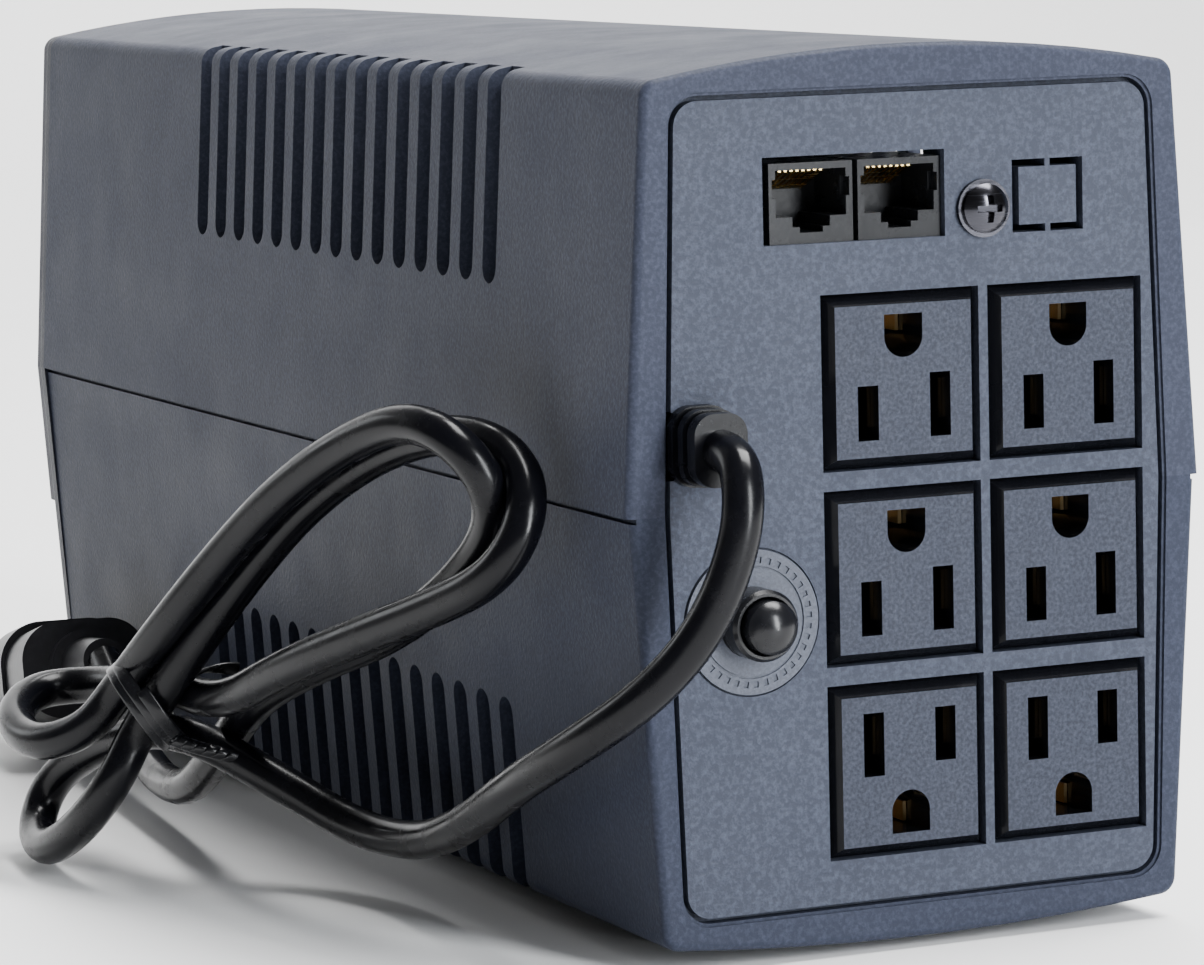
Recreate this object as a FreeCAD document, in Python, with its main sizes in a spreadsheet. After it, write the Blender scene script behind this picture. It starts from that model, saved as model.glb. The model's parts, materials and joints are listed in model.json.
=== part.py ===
import FreeCAD, Part
import math
import os
import Sketcher

# An uninterruptible power supply that stands upright: a two-part case with a front bezel and a rear
# panel of outlets, the battery, transformer and boards inside it, and its mains cord tied in a hank.
#
# Frame: +Z up, the floor at Z = 0, the rear panel faces +Y, X is the width.
# The origin is below the middle of the body, from the bezel to the tip of the breaker button.

Vector = FreeCAD.Vector
doc = FreeCAD.newDocument("uninterruptible_power_supply")

# ---------------------------------------------------------------- driving sizes, in millimetres

SIZES = {
    # the case as a whole
    "case_width": 101.6,
    "case_height": 141.8,
    "case_depth": 294.0,
    "foot_proud": 1.6,
    "seam_height": 70.6,
    "top_width": 93.2,
    "bottom_width": 91.6,
    "top_rise": 4.5,
    "bottom_rise": 2.4,
    "base_inset": 0.8,
    "wall": 2.4,
    "corner_radius": 3.0,
    "rim_radius": 1.4,
    "seam_lip": 1.2,
    "seam_groove": 0.9,
    # vents
    "vent_pitch": 9.8,
    "vent_width": 5.6,
    "vent_inset": 57.0,
    "vent_wrap": 4.2,
    "upper_vent_height": 103.1,
    "lower_vent_height": 34.9,
    # front bezel
    "bezel_depth": 7.0,
    "bezel_step": 2.5,
    "bezel_step_height": 42.9,
    "bezel_lip": 8.0,
    "fit_gap": 0.3,
    # rear rim and panel
    "rim_width_top": 5.4,
    "rim_width_seam": 7.5,
    "rim_width_bottom": 4.3,
    "rim_height_top": 7.6,
    "rim_height_bottom": 6.9,
    "rim_thickness": 2.6,
    "rim_bevel": 0.5,
    "panel_gap": 0.8,
    "panel_recess": 0.4,
    "panel_lip": 1.4,
    "panel_lip_thickness": 2.0,
    "panel_radius": 4.0,
    # mains outlets
    "outlet_x": -11.8,
    "outlet_height": 58.5,
    "outlet_pitch_x": 29.4,
    "outlet_pitch_z": 30.8,
    "outlet_cutout": 27.8,
    "outlet_gap": 0.2,
    "outlet_face": 23.9,
    "outlet_bevel": 2.8,
    "outlet_proud": 1.0,
    "outlet_depth": 22.0,
    "outlet_flange": 28.8,
    "outlet_flange_thickness": 1.5,
    "outlet_face_thickness": 3.0,
    "outlet_cavity_depth": 15.0,
    "blade_pitch": 12.7,
    "blade_line": -4.95,
    "blade_slot_width": 3.6,
    "blade_short": 8.6,
    "blade_long": 10.1,
    "blade_cavity_width": 5.2,
    "blade_gap": 1.6,
    "ground_line": 6.95,
    "ground_width": 6.7,
    "ground_height": 6.8,
    "contact_metal": 0.6,
    "contact_length": 10.0,
    "tab_thickness": 0.8,
    "tab_width": 6.3,
    "tab_length": 8.0,
    # phone and network jacks
    "jack_cutout_x": 10.55,
    "jack_cutout_width": 31.7,
    "jack_floor": 111.3,
    "jack_cutout_height": 13.7,
    "jack_x": 9.8,
    "jack_pitch": 15.4,
    "jack_width": 14.5,
    "jack_height": 12.6,
    "jack_depth": 15.0,
    "jack_recess": 1.2,
    "jack_mouth_width": 12.2,
    "jack_mouth_height": 7.3,
    "jack_mouth_top": 1.1,
    "jack_mouth_depth": 11.0,
    "jack_latch_width": 6.5,
    "jack_latch_height": 1.6,
    "jack_key_width": 4.0,
    "jack_key_height": 0.9,
    "jack_notch_width": 0.6,
    "jack_notch_height": 2.9,
    "jack_wire": 0.5,
    # rear screw and knock-out
    "screw_x": -11.9,
    "screw_height": 115.4,
    "washer_radius": 4.6,
    "washer_thickness": 0.8,
    "screw_head_radius": 3.9,
    "screw_head_height": 2.4,
    "screw_radius": 1.75,
    "screw_length": 9.0,
    "knockout_x": -23.65,
    "knockout_height": 116.95,
    "knockout_width": 12.7,
    "knockout_tall": 11.5,
    "knockout_slit": 1.2,
    "knockout_bridge": 0.9,
    # circuit breaker
    "breaker_x": 29.7,
    "breaker_height": 53.0,
    "dial_radius": 11.4,
    "dial_thickness": 0.9,
    "dial_recess": 0.6,
    "dial_gap": 0.35,
    "dial_notches": 36,
    "bushing_radius": 5.65,
    "bushing_proud": 5.6,
    "reset_radius": 4.2,
    "reset_gap": 0.3,
    "reset_proud": 9.5,
    "reset_travel": 2.5,
    "reset_dome": 2.2,
    "reset_spring_radius": 3.1,
    "reset_spring_pitch": 2.0,
    "breaker_width": 15.0,
    "breaker_depth": 30.0,
    "breaker_tall": 34.0,
    # strain relief and mains cord
    "relief_x": 38.5,
    "relief_height": 81.3,
    "relief_width": 10.2,
    "relief_tall": 12.6,
    "relief_proud": 8.9,
    "relief_groove": 1.0,
    "relief_tail": 9.0,
    "cord_diameter": 6.5,
    "plug_length": 42.0,
    # inside: battery, transformer, boards
    "battery_width": 65.0,
    "battery_length": 151.0,
    "battery_height": 94.0,
    "battery_front_gap": 29.0,
    "battery_lid": 7.0,
    "shelf_height": 6.4,
    "strap_width": 22.0,
    "strap_metal": 1.2,
    "strap_foot_height": 17.2,
    "transformer_width": 76.0,
    "transformer_height": 64.0,
    "transformer_stack": 42.0,
    "transformer_rear_gap": 49.0,
    "transformer_limb": 26.0,
    "coil_bulge": 12.5,
    "transformer_shelf": 10.4,
    "board_thickness": 1.6,
    "board_height": 108.8,
    "board_width": 76.0,
    "board_front_gap": 42.0,
    "board_length": 200.0,
    "post_radius": 3.5,
    "column_x": 39.0,
    "column_radius": 4.0,
    "column_front_gap": 19.0,
    "column_rear_gap": 42.0,
    "column_rise": 28.0,
    "case_screw_radius": 1.6,
    "case_screw_length": 22.0,
    "case_head_radius": 2.9,
    "case_head_height": 2.2,
    "small_screw_radius": 1.3,
    "small_screw_length": 7.0,
    "small_head_radius": 2.6,
    "small_head_height": 1.9,
    # front controls
    "power_height": 103.4,
    "power_radius": 7.5,
    "power_gap": 0.3,
    "power_proud": 1.2,
    "power_travel": 1.6,
    "power_skirt": 9.4,
    "power_spring_radius": 6.9,
    "power_spring_pitch": 1.6,
    "spring_wire": 0.6,
    "led_radius": 1.4,
    "lens_height": 123.4,
    "lens_width": 22.0,
    "lens_tall": 3.2,
    "display_gap": 16.0,
    "display_width": 60.0,
    "display_tall": 46.0,
}


class Size:
    """A length that knows its value and the sheet expression that gives it."""

    def __init__(self, value, formula):
        self.value = float(value)
        self.formula = formula

    def join(self, sign, other, value, flipped=False):
        text = other.formula if isinstance(other, Size) else repr(float(other))
        pair = (text, self.formula) if flipped else (self.formula, text)
        return Size(value, "(%s %s %s)" % (pair[0], sign, pair[1]))

    def __add__(self, other):
        return self.join("+", other, self.value + float(other))

    def __radd__(self, other):
        return self.join("+", other, float(other) + self.value, True)

    def __sub__(self, other):
        return self.join("-", other, self.value - float(other))

    def __rsub__(self, other):
        return self.join("-", other, float(other) - self.value, True)

    def __mul__(self, other):
        return self.join("*", other, self.value * float(other))

    def __rmul__(self, other):
        return self.join("*", other, float(other) * self.value, True)

    def __truediv__(self, other):
        return self.join("/", other, self.value / float(other))

    def __neg__(self):
        return Size(-self.value, "(0 - %s)" % self.formula)

    def __float__(self):
        return self.value


def root(size):
    """The square root of a Size."""
    return Size(math.sqrt(size.value), "sqrt(%s)" % size.formula)


class Sheet:
    """The spreadsheet of driving sizes. Each alias reads back as a Size, such as S.wall."""

    def __init__(self, sizes):
        sheet = doc.addObject("Spreadsheet::Sheet", "Sizes")
        for row, (alias, value) in enumerate(sizes.items(), start=1):
            sheet.set("A%d" % row, alias)
            sheet.set("B%d" % row, str(value))
            sheet.setAlias("B%d" % row, alias)
            setattr(self, alias, Size(value, "Sizes." + alias))


S = Sheet(SIZES)
doc.recompute()

# ---------------------------------------------------------------- how pieces are drawn

TURNS = {
    "+Z": FreeCAD.Rotation(),
    "-Z": FreeCAD.Rotation(Vector(1, 0, 0), 180),
    "+X": FreeCAD.Rotation(Vector(0, 1, 0), 90),
    "-X": FreeCAD.Rotation(Vector(0, 1, 0), -90),
    "+Y": FreeCAD.Rotation(Vector(1, 0, 0), -90),
    "-Y": FreeCAD.Rotation(Vector(1, 0, 0), 90),
}
UPRIGHT = FreeCAD.Rotation(Vector(1, 0, 0), 90)  # a sketch's X and Y lie along the part's X and Z
SIDEWAYS = FreeCAD.Rotation(Vector(1, 1, 1), 120)  # a sketch's X and Y lie along the part's Y and Z


def bind(thing, path, amount):
    """Ties a property or constraint to the sheet, or sets it if it is a plain number."""
    if isinstance(amount, Size):
        thing.setExpression(path, amount.formula)
    else:
        thing.setExpression(path, repr(float(amount)))


def put(thing, at, rotation=None):
    """Turns a thing and ties its place to the sheet."""
    place = [float(c) for c in at]
    thing.Placement = FreeCAD.Placement(Vector(*place), rotation or FreeCAD.Rotation())
    for axis, c in zip("xyz", at):
        if isinstance(c, Size):
            thing.setExpression("Placement.Base." + axis, c.formula)
    return thing


def block(name, x, y, z):
    """A box between the two ends given along each axis."""
    thing = doc.addObject("Part::Box", name)
    for prop, (low, high) in zip(("Length", "Width", "Height"), (x, y, z)):
        bind(thing, prop, high - low)
    return put(thing, (x[0], y[0], z[0]))


def about(middle, width):
    """The two ends of a span that is centred on middle."""
    return (middle - width / 2, middle + width / 2)


def rod(name, radius, at, along, length):
    thing = doc.addObject("Part::Cylinder", name)
    bind(thing, "Radius", radius)
    bind(thing, "Height", length)
    return put(thing, at, TURNS[along])


def cone(name, radius_start, radius_end, at, along, length):
    thing = doc.addObject("Part::Cone", name)
    bind(thing, "Radius1", radius_start)
    bind(thing, "Radius2", radius_end)
    bind(thing, "Height", length)
    return put(thing, at, TURNS[along])


def group(name, pieces):
    thing = doc.addObject("Part::Compound", name)
    thing.Links = list(pieces)
    return thing


def fuse(name, *pieces):
    thing = doc.addObject("Part::MultiFuse", name)
    thing.Shapes = list(pieces)
    return thing


def cut(name, base, *tools):
    thing = doc.addObject("Part::Cut", name)
    thing.Base = base
    thing.Tool = tools[0] if len(tools) == 1 else fuse(name + "_tools", *tools)
    return thing


def common(name, *pieces):
    thing = doc.addObject("Part::MultiCommon", name)
    thing.Shapes = list(pieces)
    return thing


def round_edges(name, base, radius, chosen):
    """Fillets the edges of base for which chosen(edge) is true."""
    doc.recompute()
    thing = doc.addObject("Part::Fillet", name)
    thing.Base = base
    edges = [i for i, e in enumerate(base.Shape.Edges, start=1) if chosen(e)]
    thing.Edges = [(i, float(radius), float(radius)) for i in edges]
    return thing


def runs_along(edge, axis):
    """True for a straight edge that runs along X, Y or Z."""
    ends = [v.Point for v in edge.Vertexes]
    if len(ends) != 2:
        return False
    step = (ends[1] - ends[0]).normalize()
    return abs(abs(step[axis]) - 1) < 1e-6


def lies_at(edge, axis, value):
    """True for an edge that lies in the plane across that axis at that value."""
    return all(abs(v.Point[axis] - float(value)) < 1e-4 for v in edge.Vertexes) and (
        abs(edge.valueAt((edge.FirstParameter + edge.LastParameter) / 2)[axis] - float(value)) < 1e-4
    )


def draw(sketch, corners):
    """A closed outline, anticlockwise. A corner is (x, y), or (x, y, radius) if an arc leaves it.

    A positive radius bulges outwards.
    """
    count = len(corners)
    ends = []
    for i, corner in enumerate(corners):
        a = Vector(float(corner[0]), float(corner[1]), 0)
        after = corners[(i + 1) % count]
        b = Vector(float(after[0]), float(after[1]), 0)
        if len(corner) == 2:
            sketch.addGeometry(Part.LineSegment(a, b))
            ends.append((1, 2))
            continue
        radius = float(corner[2])
        half = (b - a).Length / 2
        sagitta = abs(radius) - math.sqrt(max(radius * radius - half * half, 0))
        outward = Vector(b.y - a.y, a.x - b.x, 0).normalize()
        middle = (a + b) / 2 + outward * math.copysign(sagitta, radius)
        sketch.addGeometry(Part.Arc(a, middle, b))
        ends.append((1, 2) if radius > 0 else (2, 1))
    for i in range(count):
        j = (i + 1) % count
        sketch.addConstraint(Sketcher.Constraint("Coincident", i, ends[i][1], j, ends[j][0]))
    for i, corner in enumerate(corners):
        for kind, amount in (("DistanceX", corner[0]), ("DistanceY", corner[1])):
            at = sketch.addConstraint(Sketcher.Constraint(kind, i, ends[i][0], float(amount)))
            bind(sketch, "Constraints[%d]" % at, amount)
        if len(corner) == 3:
            radius = corner[2] if float(corner[2]) > 0 else -corner[2]
            at = sketch.addConstraint(Sketcher.Constraint("Radius", i, float(radius)))
            bind(sketch, "Constraints[%d]" % at, radius)


def plane_of(body, role):
    return next(f for f in body.Origin.OriginFeatures if f.Role == role)


def padded(name, corners, at, rotation, length):
    """A PartDesign body: an outline padded along its own normal."""
    body = doc.addObject("PartDesign::Body", name)
    sketch = body.newObject("Sketcher::SketchObject", name + "_outline")
    sketch.AttachmentSupport = (plane_of(body, "XY_Plane"), [""])
    sketch.MapMode = "FlatFace"
    draw(sketch, corners)
    pad = body.newObject("PartDesign::Pad", name + "_pad")
    pad.Profile = sketch
    bind(pad, "Length", length)
    return put(body, at, rotation)


def across_y(name, corners, y):
    """An outline in X and Z, padded from y[0] to y[1]."""
    return padded(name, corners, (0, y[1], 0), UPRIGHT, y[1] - y[0])


def turned(name, corners, at, along):
    """A PartDesign body: a half section (radius, height) turned about its own axis."""
    body = doc.addObject("PartDesign::Body", name)
    sketch = body.newObject("Sketcher::SketchObject", name + "_section")
    sketch.AttachmentSupport = (plane_of(body, "XZ_Plane"), [""])
    sketch.MapMode = "FlatFace"
    draw(sketch, corners)
    turn = body.newObject("PartDesign::Revolution", name + "_turn")
    turn.Profile = sketch
    turn.ReferenceAxis = (sketch, ["V_Axis"])
    turn.Angle = 360
    return put(body, at, TURNS[along])


def box_outline(x, y):
    """The corners of a rectangle, anticlockwise."""
    return [(x[0], y[0]), (x[1], y[0]), (x[1], y[1]), (x[0], y[1])]


def rounded_block(name, x, y, z, radius, axis):
    """A block whose edges along one axis are rounded."""
    base = block(name + "_block", x, y, z)
    return round_edges(name, base, radius, lambda e: runs_along(e, axis))


def flat(*points):
    return [Vector(*[float(c) for c in p]) for p in points]


def route(points, share=0.45):
    """A path of straight runs joined by tangent arcs, and the radius of each arc."""
    edges = []
    radii = []
    start = points[0]
    for before, corner, after in zip(points, points[1:], points[2:]):
        back = before - corner
        on = after - corner
        turn = math.pi - back.getAngle(on)
        radius = share * min(back.Length, on.Length) / math.tan(turn / 2)
        reach = radius * math.tan(turn / 2)
        back.normalize()
        on.normalize()
        first = corner + back * reach
        last = corner + on * reach
        inward = (back + on).normalize()
        middle = corner + inward * (radius / math.cos(turn / 2) - radius)
        edges.append(Part.LineSegment(start, first).toShape())
        edges.append(Part.Arc(first, middle, last).toShape())
        radii.append(radius)
        start = last
    edges.append(Part.LineSegment(start, points[-1]).toShape())
    return Part.Wire(edges), radii


def cable(name, points, diameter):
    """A round cable along a route, as one closed solid."""
    path, radii = route(points)
    direction = points[1] - points[0]
    section = Part.Wire(Part.makeCircle(float(diameter) / 2, points[0], direction))
    thing = doc.addObject("Part::Feature", name)
    thing.Shape = path.makePipeShell([section], True, True)
    if thing.Shape.ShapeType != "Solid":
        thing.Shape = Part.Solid(thing.Shape)
    expected = math.pi * float(diameter) ** 2 / 4 * path.Length
    print("%s: %.0f mm long, volume %.1f of %.1f, radii %s" % (
        name, path.Length, thing.Shape.Volume, expected, [round(r) for r in radii]))
    return thing


def spring(name, radius, wire, pitch, at, along, length):
    """A coil spring whose wire fits between its two ends."""
    helix = doc.addObject("Part::Helix", name + "_helix")
    bind(helix, "Radius", radius)
    bind(helix, "Pitch", pitch)
    bind(helix, "Height", length - wire)
    helix.LocalCoord = "Right-handed"
    section = doc.addObject("Part::Circle", name + "_wire")
    bind(section, "Radius", wire / 2)
    put(section, (radius, 0, 0), TURNS["-Y"])
    sweep = doc.addObject("Part::Sweep", name + "_sweep")
    sweep.Sections = [section]
    sweep.Spine = (helix, [])
    sweep.Solid = True
    sweep.Frenet = True
    thing = group(name, [sweep])
    offset = {"+Y": (at[0], at[1] + wire / 2, at[2]), "-Y": (at[0], at[1] - wire / 2, at[2])}
    return put(thing, offset[along], TURNS[along])


subparts = []


def keep(node, thing):
    """Names a finished piece. The name is also the name of its file."""
    thing.Label = node
    if thing.Label != node:
        raise RuntimeError("the name %s is taken" % node)
    subparts.append(thing)
    return thing


# ---------------------------------------------------------------- planes that pieces share

front = -(S.case_depth + S.reset_proud) / 2
rear = (S.case_depth - S.reset_proud) / 2
shell_front = front + S.bezel_depth
panel_face = rear - S.panel_recess
panel_back = rear - S.rim_thickness - S.panel_lip_thickness
floor = S.foot_proud
crown = floor + S.case_height
seam = floor + S.seam_height
half_seam = S.case_width / 2
half_top = S.top_width / 2
half_bottom = S.bottom_width / 2
cord_radius = S.cord_diameter / 2


def bow_radius(half, rise):
    return (half * half + rise * rise) / (rise * 2)


top_bow = bow_radius(half_top, S.top_rise)
bottom_bow = bow_radius(half_bottom, S.bottom_rise)


def top_corner(inset):
    """The height at which an inset side meets the inset top."""
    radius = top_bow - inset
    half = half_top - inset
    return crown - top_bow + root(radius * radius - half * half)


def bottom_corner(inset):
    radius = bottom_bow - inset
    half = half_bottom - inset
    return floor + bottom_bow - root(radius * radius - half * half)


def upper_section(inset):
    """The case above the seam, drawn in by inset."""
    return [
        (-(half_seam - inset), seam),
        (half_seam - inset, seam),
        (half_top - inset, top_corner(inset), top_bow - inset),
        (-(half_top - inset), top_corner(inset)),
    ]


def lower_section(inset, side=None):
    """The case below the seam, drawn in by inset."""
    side = S.base_inset if side is None else side
    return [
        (-(half_bottom - inset), bottom_corner(inset), bottom_bow - inset),
        (half_bottom - inset, bottom_corner(inset)),
        (half_seam - side - inset, seam),
        (-(half_seam - side - inset), seam),
    ]


def panel_outline(grow):
    """The rear panel's outline, grown by a margin."""
    top = crown - S.rim_height_top + grow
    bottom = floor + S.rim_height_bottom - grow
    x_top = half_top - S.rim_width_top + grow
    x_seam = half_seam - S.rim_width_seam + grow
    x_bottom = half_bottom - S.rim_width_bottom + grow
    return [
        (-x_bottom, bottom),
        (x_bottom, bottom),
        (x_seam, seam),
        (x_top, top),
        (-x_top, top),
        (-x_seam, seam),
    ]


def panel_plate(name, grow, y):
    """A plate of the panel's outline with its four outer corners rounded."""
    plate = across_y(name + "_plate", panel_outline(grow), y)
    return round_edges(name, plate, S.panel_radius + grow,
                       lambda e: runs_along(e, 1) and abs(e.Vertexes[0].Z - float(seam)) > 1)


# ---------------------------------------------------------------- case


def vent_rows(name, top):
    """Upright slots on both sides that wrap over the case's long corners."""
    slots = []
    for i in range(15):
        y = rear - S.vent_inset - S.vent_pitch * i
        if top:
            inner = half_top - S.vent_wrap
            tip = floor + S.upper_vent_height + S.vent_width / 2
            z = (tip, crown + 1)
        else:
            inner = half_bottom - S.vent_wrap
            tip = floor + S.lower_vent_height - S.vent_width / 2
            z = (floor - 1, tip)
        for side in (1, -1):
            x = (inner, half_seam + 1) if side > 0 else (-(half_seam + 1), -inner)
            straight = block("slot_straight", x, about(y, S.vent_width), z)
            end = rod("slot_end", S.vent_width / 2, (x[0], y, tip), "+X", x[1] - x[0])
            slots.append(fuse("slot", straight, end))
    return group(name, slots)


def upper_cover():
    outer = across_y("upper_outer", upper_section(0), (shell_front, rear))
    edged = round_edges("upper_corners", outer, S.corner_radius,
                        lambda e: runs_along(e, 1) and e.Vertexes[0].Z > float(seam) + 1)
    rounded = round_edges("upper_rim", edged, S.rim_radius,
                          lambda e: lies_at(e, 1, rear) and not lies_at(e, 2, seam))
    inner = across_y("upper_inner", upper_section(S.wall), (shell_front, rear - S.rim_thickness))
    opening = panel_plate("upper_opening", S.panel_gap, (rear - S.rim_thickness, rear))
    bevel = panel_plate("upper_bevel", S.panel_gap + S.rim_bevel, (rear - S.rim_bevel, rear))
    shell = cut("upper_shell", rounded, inner, opening, bevel, vent_rows("upper_vents", True))
    adds = []
    holes = []
    for x in (-1, 1):
        for y in (shell_front + S.column_front_gap, rear - S.column_rear_gap):
            adds.append(rod("column", S.column_radius, (S.column_x * x, y, seam), "+Z", S.column_rise))
            reach = (S.column_x, half_seam - S.wall + 0.3)
            span = reach if x > 0 else (-reach[1], -reach[0])
            adds.append(block("column_rib", span, about(y, 2.0), (seam, seam + S.column_rise)))
            holes.append(rod("column_hole", S.case_screw_radius, (S.column_x * x, y, seam), "+Z", 14.0))
    board_top = floor + S.board_height + S.board_thickness
    for x, y in board_post_places():
        post_top = crown - S.top_rise + 1
        adds.append(rod("board_post", S.post_radius, (x, y, board_top), "+Z", post_top - board_top))
        holes.append(rod("board_hole", S.small_screw_radius, (x, y, board_top), "+Z", 8.0))
    whole = fuse("upper_whole", shell, common("upper_inside", fuse("upper_adds", *adds), rounded))
    return keep("upper_cover", cut("upper_finished", whole, *holes))


def board_post_places():
    half = S.board_width / 2 - 4
    y = (shell_front + S.board_front_gap + 6, shell_front + S.board_front_gap + S.board_length - 6)
    return [(half * side, end) for side in (-1, 1) for end in y]


def foot_places():
    return [(31.0 * side, end) for side in (-1, 1) for end in (shell_front + 42, rear - 27)]


def lower_base():
    outer = across_y("lower_outer", lower_section(0), (shell_front, rear))
    edged = round_edges("lower_corners", outer, S.corner_radius,
                        lambda e: runs_along(e, 1) and e.Vertexes[0].Z < float(seam) - 1)
    rounded = round_edges("lower_rim", edged, S.rim_radius,
                          lambda e: lies_at(e, 1, rear) and not lies_at(e, 2, seam))
    inner = across_y("lower_inner", lower_section(S.wall), (shell_front, rear - S.rim_thickness))
    opening = panel_plate("lower_opening", S.panel_gap, (rear - S.rim_thickness, rear))
    bevel = panel_plate("lower_bevel", S.panel_gap + S.rim_bevel, (rear - S.rim_bevel, rear))
    shell = cut("lower_shell", rounded, inner, opening, bevel, vent_rows("lower_vents", False))
    adds = []
    holes = []
    lip = (half_seam - S.base_inset - S.wall - S.seam_lip, half_seam - S.base_inset - S.wall + 0.3)
    lip_y = (shell_front + S.bezel_lip + 2, rear - S.rim_thickness - S.panel_lip_thickness - 2)
    shadow = (half_seam - S.base_inset - S.seam_groove, half_seam + 1)
    for side in (1, -1):
        x = shadow if side > 0 else (-shadow[1], -shadow[0])
        holes.append(block("seam_groove", x, (shell_front - 1, rear + 1), (seam - S.seam_groove, seam)))
    for side in (1, -1):
        x = lip if side > 0 else (-lip[1], -lip[0])
        adds.append(block("seam_lip", x, lip_y, (seam - 6, seam)))
        adds.append(block("seam_tongue", about((lip[0] + 0.6) * side, 1.2), lip_y, (seam - 6, seam + 3)))
    for x in (-1, 1):
        for y in (shell_front + S.column_front_gap, rear - S.column_rear_gap):
            adds.append(rod("column", S.column_radius, (S.column_x * x, y, floor + 2), "+Z",
                            S.seam_height - 2))
            holes.append(rod("head_well", 3.2, (S.column_x * x, y, floor - 1), "+Z", S.seam_height - 9))
            holes.append(rod("screw_hole", S.case_screw_radius, (S.column_x * x, y, floor), "+Z",
                             S.seam_height + 1))
    strap_middle = battery_y()[0] + S.battery_length / 2
    for side in (1, -1):
        ledge = (S.battery_width / 2 + S.strap_metal, S.battery_width / 2 + 10)
        x = ledge if side > 0 else (-ledge[1], -ledge[0])
        adds.append(block("strap_ledge", x, about(strap_middle, S.strap_width),
                          (floor + 3.0, floor + S.strap_foot_height - S.strap_metal)))
    for i in range(4):
        y = battery_y()[0] + S.battery_length * (0.12 + 0.253 * i)
        adds.append(block("battery_rib", about(0.0, S.battery_width - 6), about(y, 3.0),
                          (floor + 1.4, floor + S.shelf_height)))
    for x, y in transformer_foot_places():
        adds.append(rod("transformer_boss", 5.0, (x, y, floor + 2.0), "+Z", S.transformer_shelf - 2.0))
        holes.append(rod("transformer_hole", S.case_screw_radius, (x, y, floor + S.transformer_shelf - 7), "+Z", 8.0))
    for x, y in foot_places():
        holes.append(rod("foot_seat", 7.0, (x, y, floor - 2), "+Z", 4.0))
    whole = fuse("lower_whole", shell, common("lower_inside", fuse("lower_adds", *adds), rounded))
    return keep("lower_base", cut("lower_finished", whole, *holes))


def feet():
    pads = []
    for x, y in foot_places():
        pads.append(turned("foot", [(0, 0), (5.6, 0), (7.0, 1.0), (7.0, floor + 2.0), (0, floor + 2.0)],
                           (x, y, 0), "+Z"))
    return keep("rubber_feet", group("feet_group", pads))


def pan_screw(name, at, along, head_radius, head_height, radius, length):
    """A screw with a domed head and a cross recess. It points along, and its head is behind at."""
    dome = bow_radius(head_radius, head_height * 0.72)
    section = [
        (0, -head_height),
        (head_radius, -head_height * 0.28),
        (head_radius, 0),
        (radius, 0),
        (radius, length - radius),
        (radius * 0.3, length),
        (0, length),
    ]
    section[0] = (0, -head_height, dome)
    return turned(name, section, at, along)


def case_screws():
    screws = []
    for x in (-1, 1):
        for y in (shell_front + S.column_front_gap, rear - S.column_rear_gap):
            screws.append(pan_screw("case_screw", (S.column_x * x, y, seam - 10), "+Z",
                                    S.case_head_radius, S.case_head_height, S.case_screw_radius,
                                    S.case_screw_length))
    return keep("case_screws", group("case_screw_group", screws))


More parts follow.
